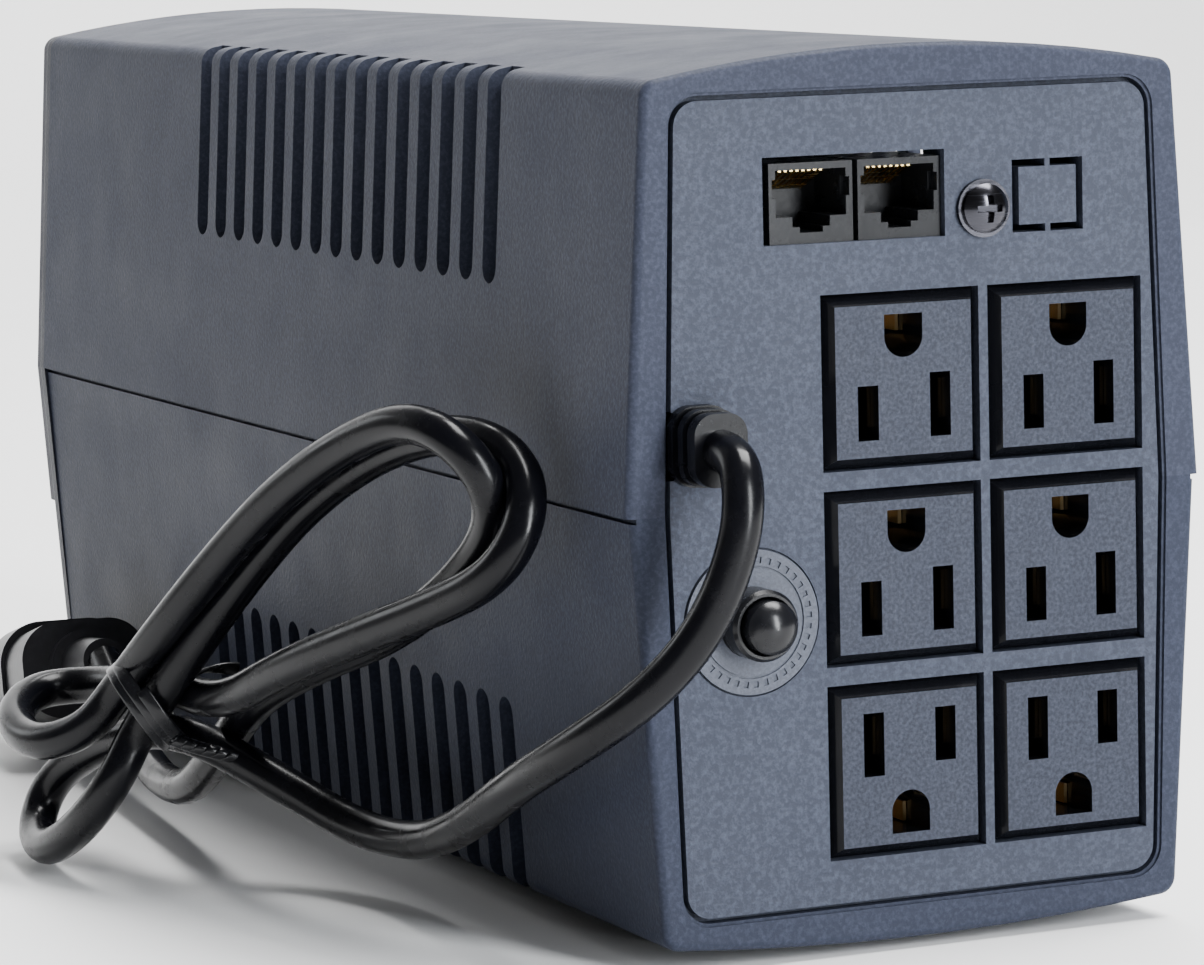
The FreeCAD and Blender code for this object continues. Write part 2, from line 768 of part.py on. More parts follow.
def front_bezel():
    plate_front = front + S.bezel_step
    section = [
        (-half_bottom, bottom_corner(0), bottom_bow),
        (half_bottom, bottom_corner(0)),
        (half_seam - 0.2, seam),
        (half_top, top_corner(0), top_bow),
        (-half_top, top_corner(0)),
        (-(half_seam - 0.2), seam),
    ]
    plate = across_y("bezel_plate", section, (plate_front, shell_front))
    corners = round_edges("bezel_corners", plate, S.corner_radius,
                          lambda e: runs_along(e, 1) and abs(e.Vertexes[0].Z - float(seam)) > 1)
    rounded = round_edges("bezel_rounded", corners, 2.4, lambda e: lies_at(e, 1, plate_front))
    step = floor + S.bezel_step_height
    slope = (half_seam - half_bottom) / (seam - bottom_corner(0))
    half_step = half_bottom + slope * (step - bottom_corner(0)) - 0.2
    tier_section = [
        (-half_step, step),
        (half_step, step),
        (half_seam - 0.4, seam),
        (half_top - 0.2, top_corner(0.2), top_bow - 0.2),
        (-(half_top - 0.2), top_corner(0.2)),
        (-(half_seam - 0.4), seam),
    ]
    tier = across_y("bezel_tier", tier_section, (front, shell_front))
    tier_corners = round_edges("bezel_tier_corners", tier, S.corner_radius,
                               lambda e: runs_along(e, 1) and e.Vertexes[0].Z > float(seam) + 1)
    tier_rounded = round_edges("bezel_tier_rounded", tier_corners, 2.2, lambda e: lies_at(e, 1, front))
    body = fuse("bezel_body", rounded, tier_rounded)
    hollow_y = (front + S.bezel_step + S.wall, shell_front)
    hollow = fuse("bezel_hollow",
                  across_y("bezel_hollow_upper", upper_section(S.wall), hollow_y),
                  across_y("bezel_hollow_lower", lower_section(S.wall), hollow_y))
    inset = S.wall + S.fit_gap
    lip_y = (shell_front - 2, shell_front + S.bezel_lip)
    lips = []
    for part, draw_section in (("upper", upper_section), ("lower", lower_section)):
        lip = across_y("bezel_lip_" + part, draw_section(inset), lip_y)
        core = across_y("bezel_lip_core_" + part, draw_section(inset + 1.6), lip_y)
        lips.append(cut("bezel_ring_" + part, lip, core))
    middle = block("bezel_lip_gap", about(0.0, S.case_width - inset * 2 - 3.2), (lip_y[0] - 1, lip_y[1] + 1),
                   (seam - 4, seam + 4))
    ring = cut("bezel_ring", fuse("bezel_rings", *lips), middle)
    shell = cut("bezel_shell", body, hollow)
    power = floor + S.power_height
    adds = [ring, rod("power_collar", S.power_radius + 3, (0, front + 2, power), "+Y", 6.0)]
    for x, z in display_post_places():
        adds.append(rod("display_post", 3.0, (x, front + 2, z), "+Y", S.display_gap - 2))
    whole = fuse("bezel_whole", shell, *adds)
    lens_z = about(floor + S.lens_height, S.lens_tall)
    holes = [
        rod("power_hole", S.power_radius + S.power_gap, (0, front - 1, power), "+Y", 20.0),
        block("lens_hole", about(0.0, S.lens_width), (front - 1, front + 12), lens_z),
    ]
    for x, z in display_post_places():
        holes.append(rod("display_hole", S.small_screw_radius, (x, front + S.display_gap - 7, z), "+Y", 8.0))
    for i in range(4):
        z = floor + 12 + 7 * i
        holes.append(block("bezel_groove", about(0.0, S.bottom_width - 26), (plate_front - 1, plate_front + 0.9),
                           about(z, 1.6)))
    return keep("front_bezel", cut("bezel_finished", whole, *holes))


# ---------------------------------------------------------------- rear panel


def outlet_places():
    """Column and row middles. The bottom pair is upside down."""
    places = []
    for row in (1, 0, -1):
        for column in (0.5, -0.5):
            x = S.outlet_x + S.outlet_pitch_x * column
            z = floor + S.outlet_height + S.outlet_pitch_z * row
            places.append((x, z, -1 if row < 0 else 1))
    return places


def rear_panel():
    face = panel_plate("panel_face_plate", 0.0, (panel_back, panel_face))
    lip = panel_plate("panel_lip_plate", S.panel_lip, (panel_back, panel_back + S.panel_lip_thickness))
    plate = fuse("panel_plate", face, lip)
    through = (panel_back - 1, panel_face + 1)
    holes = []
    for x, z, _ in outlet_places():
        holes.append(block("outlet_hole", about(x, S.outlet_cutout), through, about(z, S.outlet_cutout)))
    jack_floor = floor + S.jack_floor
    holes.append(block("jack_hole", about(S.jack_cutout_x, S.jack_cutout_width), through,
                       (jack_floor, jack_floor + S.jack_cutout_height)))
    holes.append(rod("screw_hole", S.screw_radius, (S.screw_x, panel_back - 1, floor + S.screw_height), "+Y", 8.0))
    x = S.knockout_x
    z = floor + S.knockout_height
    slit = block("slit_outer", about(x, S.knockout_width), through, about(z, S.knockout_tall))
    tab = block("slit_inner", about(x, S.knockout_width - S.knockout_slit * 2), through,
                about(z, S.knockout_tall - S.knockout_slit * 2))
    bridge = block("slit_bridge", about(x, S.knockout_bridge), through, about(z, S.knockout_tall))
    holes.append(cut("knockout_slit", slit, tab, bridge))
    at = (S.breaker_x, panel_back - 1, floor + S.breaker_height)
    holes.append(rod("bushing_hole", S.bushing_radius, at, "+Y", 8.0))
    at = (S.breaker_x, panel_face - S.dial_recess, floor + S.breaker_height)
    holes.append(rod("dial_seat", S.dial_radius + S.dial_gap, at, "+Y", 2.0))
    neck = S.relief_width - S.relief_groove * 2
    neck_tall = S.relief_tall - S.relief_groove * 2
    holes.append(block("relief_notch", (S.relief_x - neck / 2, half_seam), through,
                       about(floor + S.relief_height, neck_tall)))
    return keep("rear_panel", cut("panel_finished", plate, *holes))


def ground_bore(name, x, z, turn, y):
    """The ground hole: straight on one side, round on the side that faces the blades."""
    radius = S.ground_width / 2
    middle = z + (S.ground_line - S.ground_height / 2 + radius) * turn
    square_end = z + (S.ground_line + S.ground_height / 2) * turn
    span = (middle, square_end) if turn > 0 else (square_end, middle)
    return [
        block(name + "_flat", about(x, S.ground_width), y, span),
        rod(name + "_round", radius, (x, y[0], middle), "+Y", y[1] - y[0]),
    ]


def outlet(number, x, z, turn):
    """A moulded three-hole outlet block behind its bevelled square face."""
    face = panel_face + S.outlet_proud
    bevel_foot = face - S.outlet_bevel
    back = face - S.outlet_depth
    skirt = S.outlet_cutout - S.outlet_gap * 2
    bevel = doc.addObject("Part::Wedge", "outlet_bevel")
    half = skirt / 2
    inner = S.outlet_face / 2
    for prop, amount in (("Xmin", -half), ("Xmax", half), ("Zmin", -half), ("Zmax", half),
                         ("X2min", -inner), ("X2max", inner), ("Z2min", -inner), ("Z2max", inner),
                         ("Ymin", 0), ("Ymax", S.outlet_bevel)):
        bind(bevel, prop, amount)
    put(bevel, (x, bevel_foot, z))
    body = block("outlet_body", about(x, skirt), (back, bevel_foot), about(z, skirt))
    flange_y = (panel_back - S.outlet_flange_thickness, panel_back)
    flange = block("outlet_flange", about(x, S.outlet_flange), flange_y, about(z, S.outlet_flange))
    solid = fuse("outlet_solid", bevel, body, flange)
    mouth = (face - S.outlet_face_thickness, face + 1)
    cavity = (face - S.outlet_face_thickness - S.outlet_cavity_depth, face - S.outlet_face_thickness)
    holes = []
    for side, tall in ((1, S.blade_short), (-1, S.blade_long)):
        slot_x = x + S.blade_pitch / 2 * side * turn
        slot_z = z + (S.blade_line + (tall - S.blade_short) / 2) * turn
        holes.append(block("blade_slot", about(slot_x, S.blade_slot_width), mouth, about(slot_z, tall)))
        holes.append(block("blade_cavity", about(slot_x, S.blade_cavity_width), cavity,
                           about(slot_z, S.blade_long + 0.6)))
        holes.append(block("blade_tab_slot", about(slot_x, S.tab_thickness), (back - 1, cavity[0]),
                           about(slot_z, S.tab_width)))
    holes += ground_bore("ground", x, z, turn, (cavity[0], face + 1))
    holes.append(block("ground_tab_slot", about(x, S.tab_thickness), (back - 1, cavity[0]),
                       about(z + (S.ground_line + 1.6) * turn, S.tab_width / 2)))
    return keep("outlet_%d" % number, cut("outlet_finished", solid, *holes))


def contact(name, x, z, gap, tall, tab_wide):
    """A spring clip of two leaves with a tab that leaves the back of the outlet."""
    face = panel_face + S.outlet_proud
    deep = face - S.outlet_face_thickness - S.outlet_cavity_depth
    leaf_y = (deep, deep + S.contact_length)
    pieces = [block(name + "_back", about(x, gap + S.contact_metal * 2), (deep, deep + S.contact_metal),
                    about(z, tall))]
    for side in (1, -1):
        pieces.append(block(name + "_leaf", about(x + (gap + S.contact_metal) / 2 * side, S.contact_metal),
                            leaf_y, about(z, tall)))
    tab_y = (face - S.outlet_depth - S.tab_length, deep)
    pieces.append(block(name + "_tab", about(x, S.tab_thickness), tab_y, about(z, tab_wide)))
    return fuse(name, *pieces)


def outlet_contacts():
    kinds = {"line": [], "neutral": [], "ground": []}
    for x, z, turn in outlet_places():
        for kind, side, tall in (("line", 1, S.blade_short), ("neutral", -1, S.blade_long)):
            slot_x = x + S.blade_pitch / 2 * side * turn
            slot_z = z + (S.blade_line + (tall - S.blade_short) / 2) * turn
            kinds[kind].append(contact(kind, slot_x, slot_z, S.blade_gap, S.tab_width, S.tab_width))
        gap = S.ground_width - S.contact_metal * 2 - 0.2
        kinds["ground"].append(contact("ground", x, z + (S.ground_line + 1.6) * turn, gap,
                                       S.tab_width / 2, S.tab_width / 2))
    for kind, clips in kinds.items():
        keep("outlet_%s_contacts" % kind, group(kind + "_group", clips))


def jack_places():
    return [S.jack_x + S.jack_pitch / 2, S.jack_x - S.jack_pitch / 2]


def jack(number, x):
    """A modular jack. Its mouth steps in twice towards the latch at the bottom."""
    low = floor + S.jack_floor
    top = low + S.jack_height
    face = panel_face - S.jack_recess
    body = block("jack_body", about(x, S.jack_width), (face - S.jack_depth, face), (low, top))
    deep = (face - S.jack_mouth_depth, face + 1)
    mouth_top = top - S.jack_mouth_top
    mouth_low = mouth_top - S.jack_mouth_height
    latch_low = mouth_low - S.jack_latch_height
    notch_z = (mouth_top - 1.4 - S.jack_notch_height, mouth_top - 1.4)
    mouth = [
        block("jack_mouth", about(x, S.jack_mouth_width), deep, (mouth_low, mouth_top)),
        block("jack_latch", about(x, S.jack_latch_width), deep, (latch_low, mouth_low)),
        block("jack_key", about(x, S.jack_key_width), deep, (latch_low - S.jack_key_height, latch_low)),
        block("jack_notches", about(x, S.jack_mouth_width + S.jack_notch_width * 2),
              (face - 2, face + 1), notch_z),
    ]
    return keep("jack_%d" % number, cut("jack_finished", body, *mouth))


def jack_contacts():
    """Eight sprung wires in each jack, which slope down from the roof of its mouth."""
    wires = []
    face = panel_face - S.jack_recess
    mouth_top = floor + S.jack_floor + S.jack_height - S.jack_mouth_top
    for x in jack_places():
        for i in range(8):
            wire_x = x + 1.02 * (i - 3.5)
            corners = [
                (face - S.jack_mouth_depth, mouth_top),
                (face - S.jack_mouth_depth, mouth_top - 3.4),
                (face - S.jack_mouth_depth + 0.5, mouth_top - 3.6),
                (face - 3.6, mouth_top - 0.5),
                (face - 3.6, mouth_top),
            ]
            wires.append(padded("jack_wire", corners, (wire_x - S.jack_wire / 2, 0, 0), SIDEWAYS,
                                S.jack_wire))
    return keep("jack_contacts", group("jack_wire_group", wires))


def surge_board():
    low = floor + S.jack_floor
    face = panel_face - S.jack_recess
    return keep("surge_board", block("surge_board_block", about(S.jack_x, S.jack_cutout_width + 4),
                                     (face - S.jack_depth - 8, panel_back), (low - S.board_thickness, low)))


def panel_screw():
    at = (S.screw_x, panel_face, floor + S.screw_height)
    disc = rod("washer_disc", S.washer_radius, at, "+Y", S.washer_thickness)
    hole = rod("washer_hole", S.screw_radius, at, "+Y", S.washer_thickness)
    washer = keep("panel_screw_washer", cut("washer", disc, hole))
    seat = (S.screw_x, panel_face + S.washer_thickness, floor + S.screw_height)
    screw = pan_screw("panel_screw_turned", seat, "-Y", S.screw_head_radius, S.screw_head_height,
                      S.screw_radius, S.screw_length)
    tip = panel_face + S.washer_thickness + S.screw_head_height
    arms = [
        block("cross_arm", about(S.screw_x, 4.4), (tip - 1.5, tip + 1), about(floor + S.screw_height, 1.1)),
        block("cross_arm", about(S.screw_x, 1.1), (tip - 1.5, tip + 1), about(floor + S.screw_height, 4.4)),
    ]
    keep("panel_screw", cut("panel_screw_cut", screw, *arms))
    return washer


# ---------------------------------------------------------------- circuit breaker


def breaker():
    x = S.breaker_x
    z = floor + S.breaker_height
    bore = S.reset_radius + S.reset_gap
    collar = S.bushing_radius - 0.75
    case_y = (panel_back - S.breaker_depth, panel_back)
    case = block("breaker_case", about(x, S.breaker_width), case_y, about(z, S.breaker_tall))
    well = rod("breaker_well", collar + S.reset_gap, (x, panel_back - 14, z), "+Y", 15.0)
    keep("breaker_body", cut("breaker_body_cut", case, well))

    end = panel_face + S.bushing_proud
    bushing = turned("bushing_turned", [
        (bore, 0),
        (S.bushing_radius, 0),
        (S.bushing_radius, end - panel_back - 0.7),
        (S.bushing_radius - 0.5, end - panel_back),
        (bore + 0.2, end - panel_back),
        (bore, end - panel_back - 0.3),
    ], (x, panel_back, z), "+Y")
    keep("breaker_bushing", bushing)

    seat = panel_face - S.dial_recess
    disc = rod("dial_disc", S.dial_radius, (x, seat, z), "+Y", S.dial_thickness)
    cuts = [rod("dial_hole", S.bushing_radius, (x, seat - 1, z), "+Y", 4.0)]
    ring_y = (seat + S.dial_thickness - 0.3, seat + S.dial_thickness + 1)
    groove = rod("dial_groove", 8.9, (x, ring_y[0], z), "+Y", 1.3)
    core = rod("dial_core", 8.5, (x, ring_y[0], z), "+Y", 1.3)
    cuts.append(cut("dial_ring_groove", groove, core))
    for i in range(int(SIZES["dial_notches"])):
        angle = 2 * math.pi * i / SIZES["dial_notches"]
        notch = block("dial_notch", (-0.42, 0.42), (0, 1.3), (0, 1.0))
        notch.Placement = FreeCAD.Placement(Vector(0, 0, 0), FreeCAD.Rotation(Vector(0, 1, 0),
                                                                              math.degrees(angle)))
        put(notch, (x + 9.3 * math.sin(angle), ring_y[0], z + 9.3 * math.cos(angle)),
            FreeCAD.Rotation(Vector(0, 1, 0), math.degrees(angle)))
        cuts.append(notch)
    keep("breaker_dial", cut("dial_cut", disc, *cuts))

    tip = rear + S.reset_proud
    shoulder = panel_back - 2.0
    head = S.reset_radius
    button = turned("reset_turned", [
        (0, shoulder - panel_back - 7),
        (1.8, shoulder - panel_back - 7),
        (1.8, shoulder - panel_back),
        (collar, shoulder - panel_back),
        (collar, -0.1),
        (head, -0.1),
        (head, tip - panel_back - S.reset_dome, bow_radius(head, S.reset_dome)),
        (0, tip - panel_back),
    ], (x, panel_back, z), "+Y")
    keep("breaker_button", button)
    keep("breaker_spring", spring("breaker_spring_coil", S.reset_spring_radius, S.spring_wire,
                                  S.reset_spring_pitch, (x, panel_back - 14, z), "+Y",
                                  shoulder - panel_back + 14))
    tabs = []
    for side in (1, -1):
        tabs.append(block("breaker_tab", about(x, S.tab_width), (case_y[0] - 9, case_y[0]),
                          about(z + 9 * side, S.tab_thickness)))
    keep("breaker_terminals", group("breaker_tabs", tabs))


# ---------------------------------------------------------------- strain relief and mains cord


def relief_stage(name, inset, y):
    """One stage of the strain relief: a rounded block drawn in by inset."""
    x = about(S.relief_x, S.relief_width - inset * 2)
    z = about(floor + S.relief_height, S.relief_tall - inset * 2)
    return rounded_block(name, x, y, z, float(S.relief_width) * 0.36 - float(inset) * 0.5, 1)


def strain_relief():
    """Three flanges that shrink outwards, the neck held in the panel and a tail inside the case."""
    g = S.relief_groove
    stages = [
        relief_stage("relief_flange_1", 0.0, (panel_face, panel_face + 2.2)),
        relief_stage("relief_neck_1", g, (panel_back, panel_face + 3.4)),
        relief_stage("relief_flange_2", g * 0.3, (panel_face + 3.4, panel_face + 5.2)),
        relief_stage("relief_neck_2", g * 1.2, (panel_face + 5.2, panel_face + 6.2)),
        relief_stage("relief_flange_3", g * 0.6, (panel_face + 6.2, panel_face + S.relief_proud)),
        relief_stage("relief_inner_flange", -0.5 * g, (panel_back - 2.4, panel_back)),
    ]
    centre = (S.relief_x, panel_back - 2.4, floor + S.relief_height)
    tail = cone("relief_tail", cord_radius + 1.6, cord_radius + 0.8, centre, "-Y", S.relief_tail)
    return keep("cord_strain_relief", fuse("relief_whole", *stages, tail))


def cord_exit():
    return (S.relief_x, panel_face + S.relief_proud, floor + S.relief_height)


# The cord's route, as chosen: out of the strain relief, down past the corner of the case and
# forwards beside it, sagging, up into the tied hank. Then from the hank to the plug.
LEAD = [
    (38.5, 156.5, 82.5),
    (39.5, 160.5, 77.5),
    (40.5, 161.0, 70.5),
    (43.5, 159.5, 61.0),
    (48.0, 156.5, 52.5),
    (54.0, 151.5, 45.0),
    (60.0, 141.0, 37.5),
    (62.5, 123.0, 29.0),
    (61.5, 101.0, 19.0),
    (60.5, 78.0, 12.0),
    (64.0, 59.0, 11.5),
    (72.0, 45.0, 18.0),
    (81.0, 33.5, 25.5),
]
TAIL = [
    (77.5, 50.0, 34.0),
    (74.0, 33.0, 29.0),
    (74.0, 17.0, 18.5),
    (72.0, -4.0, 10.0),
    (68.0, -28.0, 9.5),
    (66.5, -50.0, 16.5),
    (65.5, -68.0, 23.5),
]

TIE = (90.0, 28.0, 31.0)
LOOP_TURN = FreeCAD.Rotation(Vector(-0.307, 0.952, 0), Vector(0, 0, 1), Vector(0.952, 0.307, 0), "ZXY")
BUNDLE_TURN = FreeCAD.Rotation(Vector(0, 0, 1), Vector(-0.284, 0.881, 0.378))
LOW_LOOP_TURN = FreeCAD.Rotation(Vector(0.52, -0.28, -0.81), Vector(-0.4, -0.91, 0.06), Vector(0, 0, 0), "XYZ")
SIDE_LOOP_TURN = FreeCAD.Rotation(Vector(0.65, -0.72, -0.25), Vector(-0.62, -0.69, 0.37), Vector(0, 0, 0), "XYZ")


def along(turn, x, y, z):
    """A place given from the tie, in turned axes."""
    step = turn.multVec(Vector(x, y, z))
    return (TIE[0] + step.x, TIE[1] + step.y, TIE[2] + step.z)


def cord_lead():
    points = [Vector(*[float(c) for c in cord_exit()])] + [Vector(*p) for p in LEAD]
    return keep("cord_lead", cable("cord_lead_tube", points, S.cord_diameter))


def cord_tail():
    return keep("cord_tail", cable("cord_tail_tube", [Vector(*p) for p in TAIL], S.cord_diameter))


def cord_hank():
    """The outer shape of the tied hank: two long loops that lean on the case and two short ones."""
    thick = S.cord_diameter * 2 + 0.6
    outer = [
        (6, 25), (20, 27), (45, 34), (70, 43), (92, 54), (102, 63), (105.5, 73), (103, 83),
        (95, 90), (80, 92), (62, 88), (45, 79), (29, 67), (14, 51), (-0.5, 38.5),
    ]
    inner = [
        (24, 44), (40, 49), (60, 54), (78, 60), (87, 66), (88, 74), (82, 79), (72, 79), (60, 74), (44, 64),
    ]
    at = (TIE[0] - 0.952 * float(thick) / 2, TIE[1] - 0.307 * float(thick) / 2, 0)
    plate = padded("hank_plate", outer, at, LOOP_TURN, thick)
    hole_at = (at[0] - 0.952, at[1] - 0.307, 0)
    hole = padded("hank_hole", inner, hole_at, LOOP_TURN, thick + 2)
    low = block("hank_low_loop", (10.0, 33.0), (-10.0, 10.0), (-3.3, 3.3))
    put(low, along(LOW_LOOP_TURN, 10.0, -10.0, -3.3), LOW_LOOP_TURN)
    side = block("hank_side_loop", (5.0, 38.0), (-13.0, 13.0), (-3.3, 3.3))
    put(side, along(SIDE_LOOP_TURN, 5.0, -13.0, -3.3), SIDE_LOOP_TURN)
    bundle = rod("hank_bundle", 7.9, (0, 0, 0), "+Z", 16.0)
    put(bundle, along(BUNDLE_TURN, 0, 0, -8.0), BUNDLE_TURN)
    return keep("cord_hank", fuse("hank_whole", cut("hank_loops", plate, hole), low, side, bundle))


def cord_tie():
    """The wire tie round the hank's bundle."""
    ring = rod("tie_outer", 9.3, (0, 0, 0), "+Z", 1.6)
    bore = rod("tie_bore", 8.3, (0, 0, -1), "+Z", 4.0)
    thing = cut("tie_ring", ring, bore)
    return keep("cord_tie", put(thing, TIE, BUNDLE_TURN))


def plug():
    """A moulded three-pin plug that lies on the floor. It is drawn along +Z, from the cord to its pins."""
    turn = FreeCAD.Rotation(Vector(0, 0, 1), -4).multiply(FreeCAD.Rotation(Vector(1, 0, 0), 103.7))
    neck = cone("plug_neck", cord_radius + 0.9, cord_radius + 2.6, (0, 0, 0), "+Z", 14.0)
    ring = rod("plug_collar", 7.4, (0, 0, 12.0), "+Z", 5.0)
    back = rounded_block("plug_back", (-12.4, 12.4), (-9.4, 9.4), (15.0, 30.0), 7.5, 2)
    face = rounded_block("plug_face", (-13.2, 13.2), (-11.0, 11.0), (30.0, S.plug_length), 8.5, 2)
    body = fuse("plug_whole", neck, ring, back, face)
    keep("plug_body", put(body, TAIL[-1], turn))
    start = S.plug_length
    pins = []
    for side in (1, -1):
        pins.append(block("plug_blade", about(S.blade_pitch / 2 * side, 1.5), about(4.9, 6.3),
                          (start, start + 17.5)))
    pins.append(rod("plug_ground_pin", 2.4, (0, -7.0, start), "+Z", 19.0))
    keep("plug_prongs", put(group("plug_pins", pins), TAIL[-1], turn))


# ---------------------------------------------------------------- inside the case


def battery_y():
    start = shell_front + S.battery_front_gap
    return (start, start + S.battery_length)


def battery():
    low = floor + S.shelf_height
    top = low + S.battery_height
    y = battery_y()
    x = about(0.0, S.battery_width)
    keep("battery_case", rounded_block("battery_case_block", x, y, (low, top - S.battery_lid), 2.0, 2))
    lid = rounded_block("battery_lid_block", x, y, (top - S.battery_lid, top), 2.0, 2)
    strip = block("battery_vent_strip", about(0.0, 30.0), (y[0] + 14, y[1] - 14), (top - 0.8, top + 1))
    keep("battery_lid", cut("battery_lid_cut", lid, strip))
    tabs = []
    for side in (1, -1):
        tx = 22.0 * side
        stem = block("terminal_foot", about(tx, S.tab_width), (y[0] + 8, y[0] + 9 - 0.2), (top, top + 6))
        leaf = block("terminal_tab", about(tx, S.tab_width), (y[0] + 1, y[0] + 8), (top + 5.2, top + 6))
        tabs.append(fuse("terminal", stem, leaf))
    keep("battery_terminals", group("terminal_group", tabs))

    middle = y[0] + S.battery_length / 2
    m = S.strap_metal
    band = about(middle, S.strap_width)
    half = S.battery_width / 2
    foot = floor + S.strap_foot_height - m
    pieces = [block("strap_top", (-(half + m), half + m), band, (top, top + m))]
    for side in (1, -1):
        leg = (half, half + m) if side > 0 else (-(half + m), -half)
        toe = (half, half + 10) if side > 0 else (-(half + 10), -half)
        pieces.append(block("strap_leg", leg, band, (foot, top + m)))
        pieces.append(block("strap_toe", toe, band, (foot, foot + m)))
    keep("battery_strap", fuse("strap", *pieces))


def transformer_middle():
    return rear - S.transformer_rear_gap - S.transformer_stack / 2


def transformer_foot_places():
    y = transformer_middle()
    return [(29.0 * side, y + (S.transformer_stack / 2 + 7) * end) for side in (-1, 1) for end in (-1, 1)]


def transformer():
    y = transformer_middle()
    low = floor + S.transformer_shelf
    m = S.strap_metal
    half = S.transformer_width / 2
    stack = about(y, S.transformer_stack)
    base = low + m
    top = base + S.transformer_height
    plate = block("transformer_base", about(0.0, 68.0), about(y, S.transformer_stack + 26), (low, base))
    holes = [rod("plate_hole", S.case_screw_radius, (px, py, low - 1), "+Z", 4.0) for px, py in transformer_foot_places()]
    keep("transformer_plate", cut("transformer_plate_cut", plate, *holes))
    core = block("core_block", (-half, half), stack, (base, top))
    limb = S.transformer_limb / 2
    window_z = (base + limb, top - limb)
    windows = [block("core_window", (limb, half - limb), stack, window_z),
               block("core_window", (-(half - limb), -limb), stack, window_z)]
    keep("transformer_core", cut("core_cut", core, *windows))
    coil_x = half - limb - 0.4
    coil = rounded_block("coil_block", (-coil_x, coil_x), about(y, S.transformer_stack + S.coil_bulge * 2),
                         window_z, 3.0, 2)
    inside = block("coil_core", (-limb, limb), stack, window_z)
    keep("transformer_coil", cut("coil_cut", coil, inside))
    return [pan_screw("transformer_screw", (px, py, base), "-Z", S.small_head_radius, S.small_head_height,
                      S.case_screw_radius, S.small_screw_length)
            for px, py in transformer_foot_places()]


def main_board():
    low = floor + S.board_height
    top = low + S.board_thickness
    y0 = shell_front + S.board_front_gap
    board = block("main_board_block", about(0.0, S.board_width), (y0, y0 + S.board_length), (low, top))
    holes = [rod("board_screw_hole", S.small_screw_radius, (x, y, low - 1), "+Z", 4.0) for x, y in board_post_places()]
    keep("main_board", cut("main_board_cut", board, *holes))
    screws = [pan_screw("board_screw", (x, y, low), "+Z", S.small_head_radius, S.small_head_height,
                        S.small_screw_radius, S.small_screw_length)
              for x, y in board_post_places()]

    sinks = []
    chips = []
    for side in (1, -1):
        inner = 21.0 * side
        spine = block("sink_spine", about(inner + 1.5 * side, 3.0), (y0 + 108, y0 + 168), (top, top + 23))
        fins = [block("sink_fin", about(inner + 6.5 * side, 8.0), about(y0 + 110.5 + 5 * i, 1.6),
                      (top + 2, top + 23)) for i in range(12)]
        sinks.append(fuse("heat_sink", spine, *fins))
        for i in range(3):
            chip_y = y0 + 120 + 18 * i
            package = block("chip_package", about(inner - 2.2 * side, 4.4), about(chip_y, 10.0),
                            (top + 3, top + 18))
            legs = [block("chip_leg", about(inner - 2.2 * side, 0.6), about(chip_y + 2.54 * k, 0.8),
                          (top, top + 3)) for k in (-1, 0, 1)]
            chips.append(fuse("power_transistor", package, *legs))
    keep("heat_sinks", group("heat_sink_group", sinks))
    keep("power_transistors", group("transistor_group", chips))

    relays = [block("relay", about(-20.0 + 20 * i, 15.6), about(y0 + 86, 19.0), (top, top + 15.5))
              for i in range(3)]
    keep("relays", group("relay_group", relays))
    cans = [rod("capacitor", 8.0, (x, y0 + dy, top), "+Z", 21.0)
            for x, dy in ((-22.0, 28.0), (0.0, 28.0), (0.0, 50.0))]
    keep("capacitors", group("capacitor_group", cans))
    fuse_y = y0 + 48
    caps = [block("fuse_clip", about(24.0, 6.0), about(fuse_y + 11 * side, 5.0), (top, top + 7))
            for side in (1, -1)]
    tube = rod("fuse_tube", 2.6, (24.0, fuse_y - 8.5, top + 4), "+Y", 17.0)
    keep("board_fuse", fuse("board_fuse_whole", tube, *caps))
    can = rod("buzzer_can", 6.0, (22.0, y0 + 24, top), "+Z", 9.0)
    hole = rod("buzzer_hole", 1.0, (22.0, y0 + 24, top + 7), "+Z", 3.0)
    keep("buzzer", cut("buzzer_cut", can, hole))
    return screws


def inner_wiring():
    """Battery leads to the board's front edge, transformer leads to its rear edge."""
    board_top = float(floor + S.board_height + S.board_thickness)
    y0 = float(shell_front + S.board_front_gap)
    tab_y = float(battery_y()[0]) + 1
    tab_z = float(floor + S.shelf_height + S.battery_height) + 5.6
    for colour, side in (("red", 1), ("black", -1)):
        x = 22.0 * side
        shift = 4.0 * side
        points = flat((x, tab_y, tab_z), (x, tab_y - 9, tab_z), (x - shift, tab_y - 9, tab_z + 13),
                      (x - shift, y0 + 4, board_top + 9), (x - shift, y0 + 7, board_top + 0.6))
        keep("battery_lead_" + colour, cable("battery_lead_" + colour + "_wire", points, 3.0))
    y1 = y0 + float(S.board_length)
    coil_y = float(transformer_middle() + S.transformer_stack / 2 + S.coil_bulge)
    coil_z = float(floor + S.transformer_shelf + S.strap_metal + S.transformer_height / 2) + 6
    leads = []
    for x in (-12.0, 0.0, 12.0):
        points = flat((x, coil_y, coil_z), (x, coil_y + 8, coil_z), (x, coil_y + 7, board_top + 7),
                      (x, y1 - 4, board_top + 11), (x, y1 - 6, board_top + 0.4))
        leads.append(cable("transformer_lead", points, 2.6))
    keep("transformer_leads", group("transformer_lead_group", leads))


# ---------------------------------------------------------------- front controls


def display_post_places():
    z = floor + S.power_height
    return [((S.display_width / 2 - 5) * side, z + 4.0) for side in (-1, 1)]


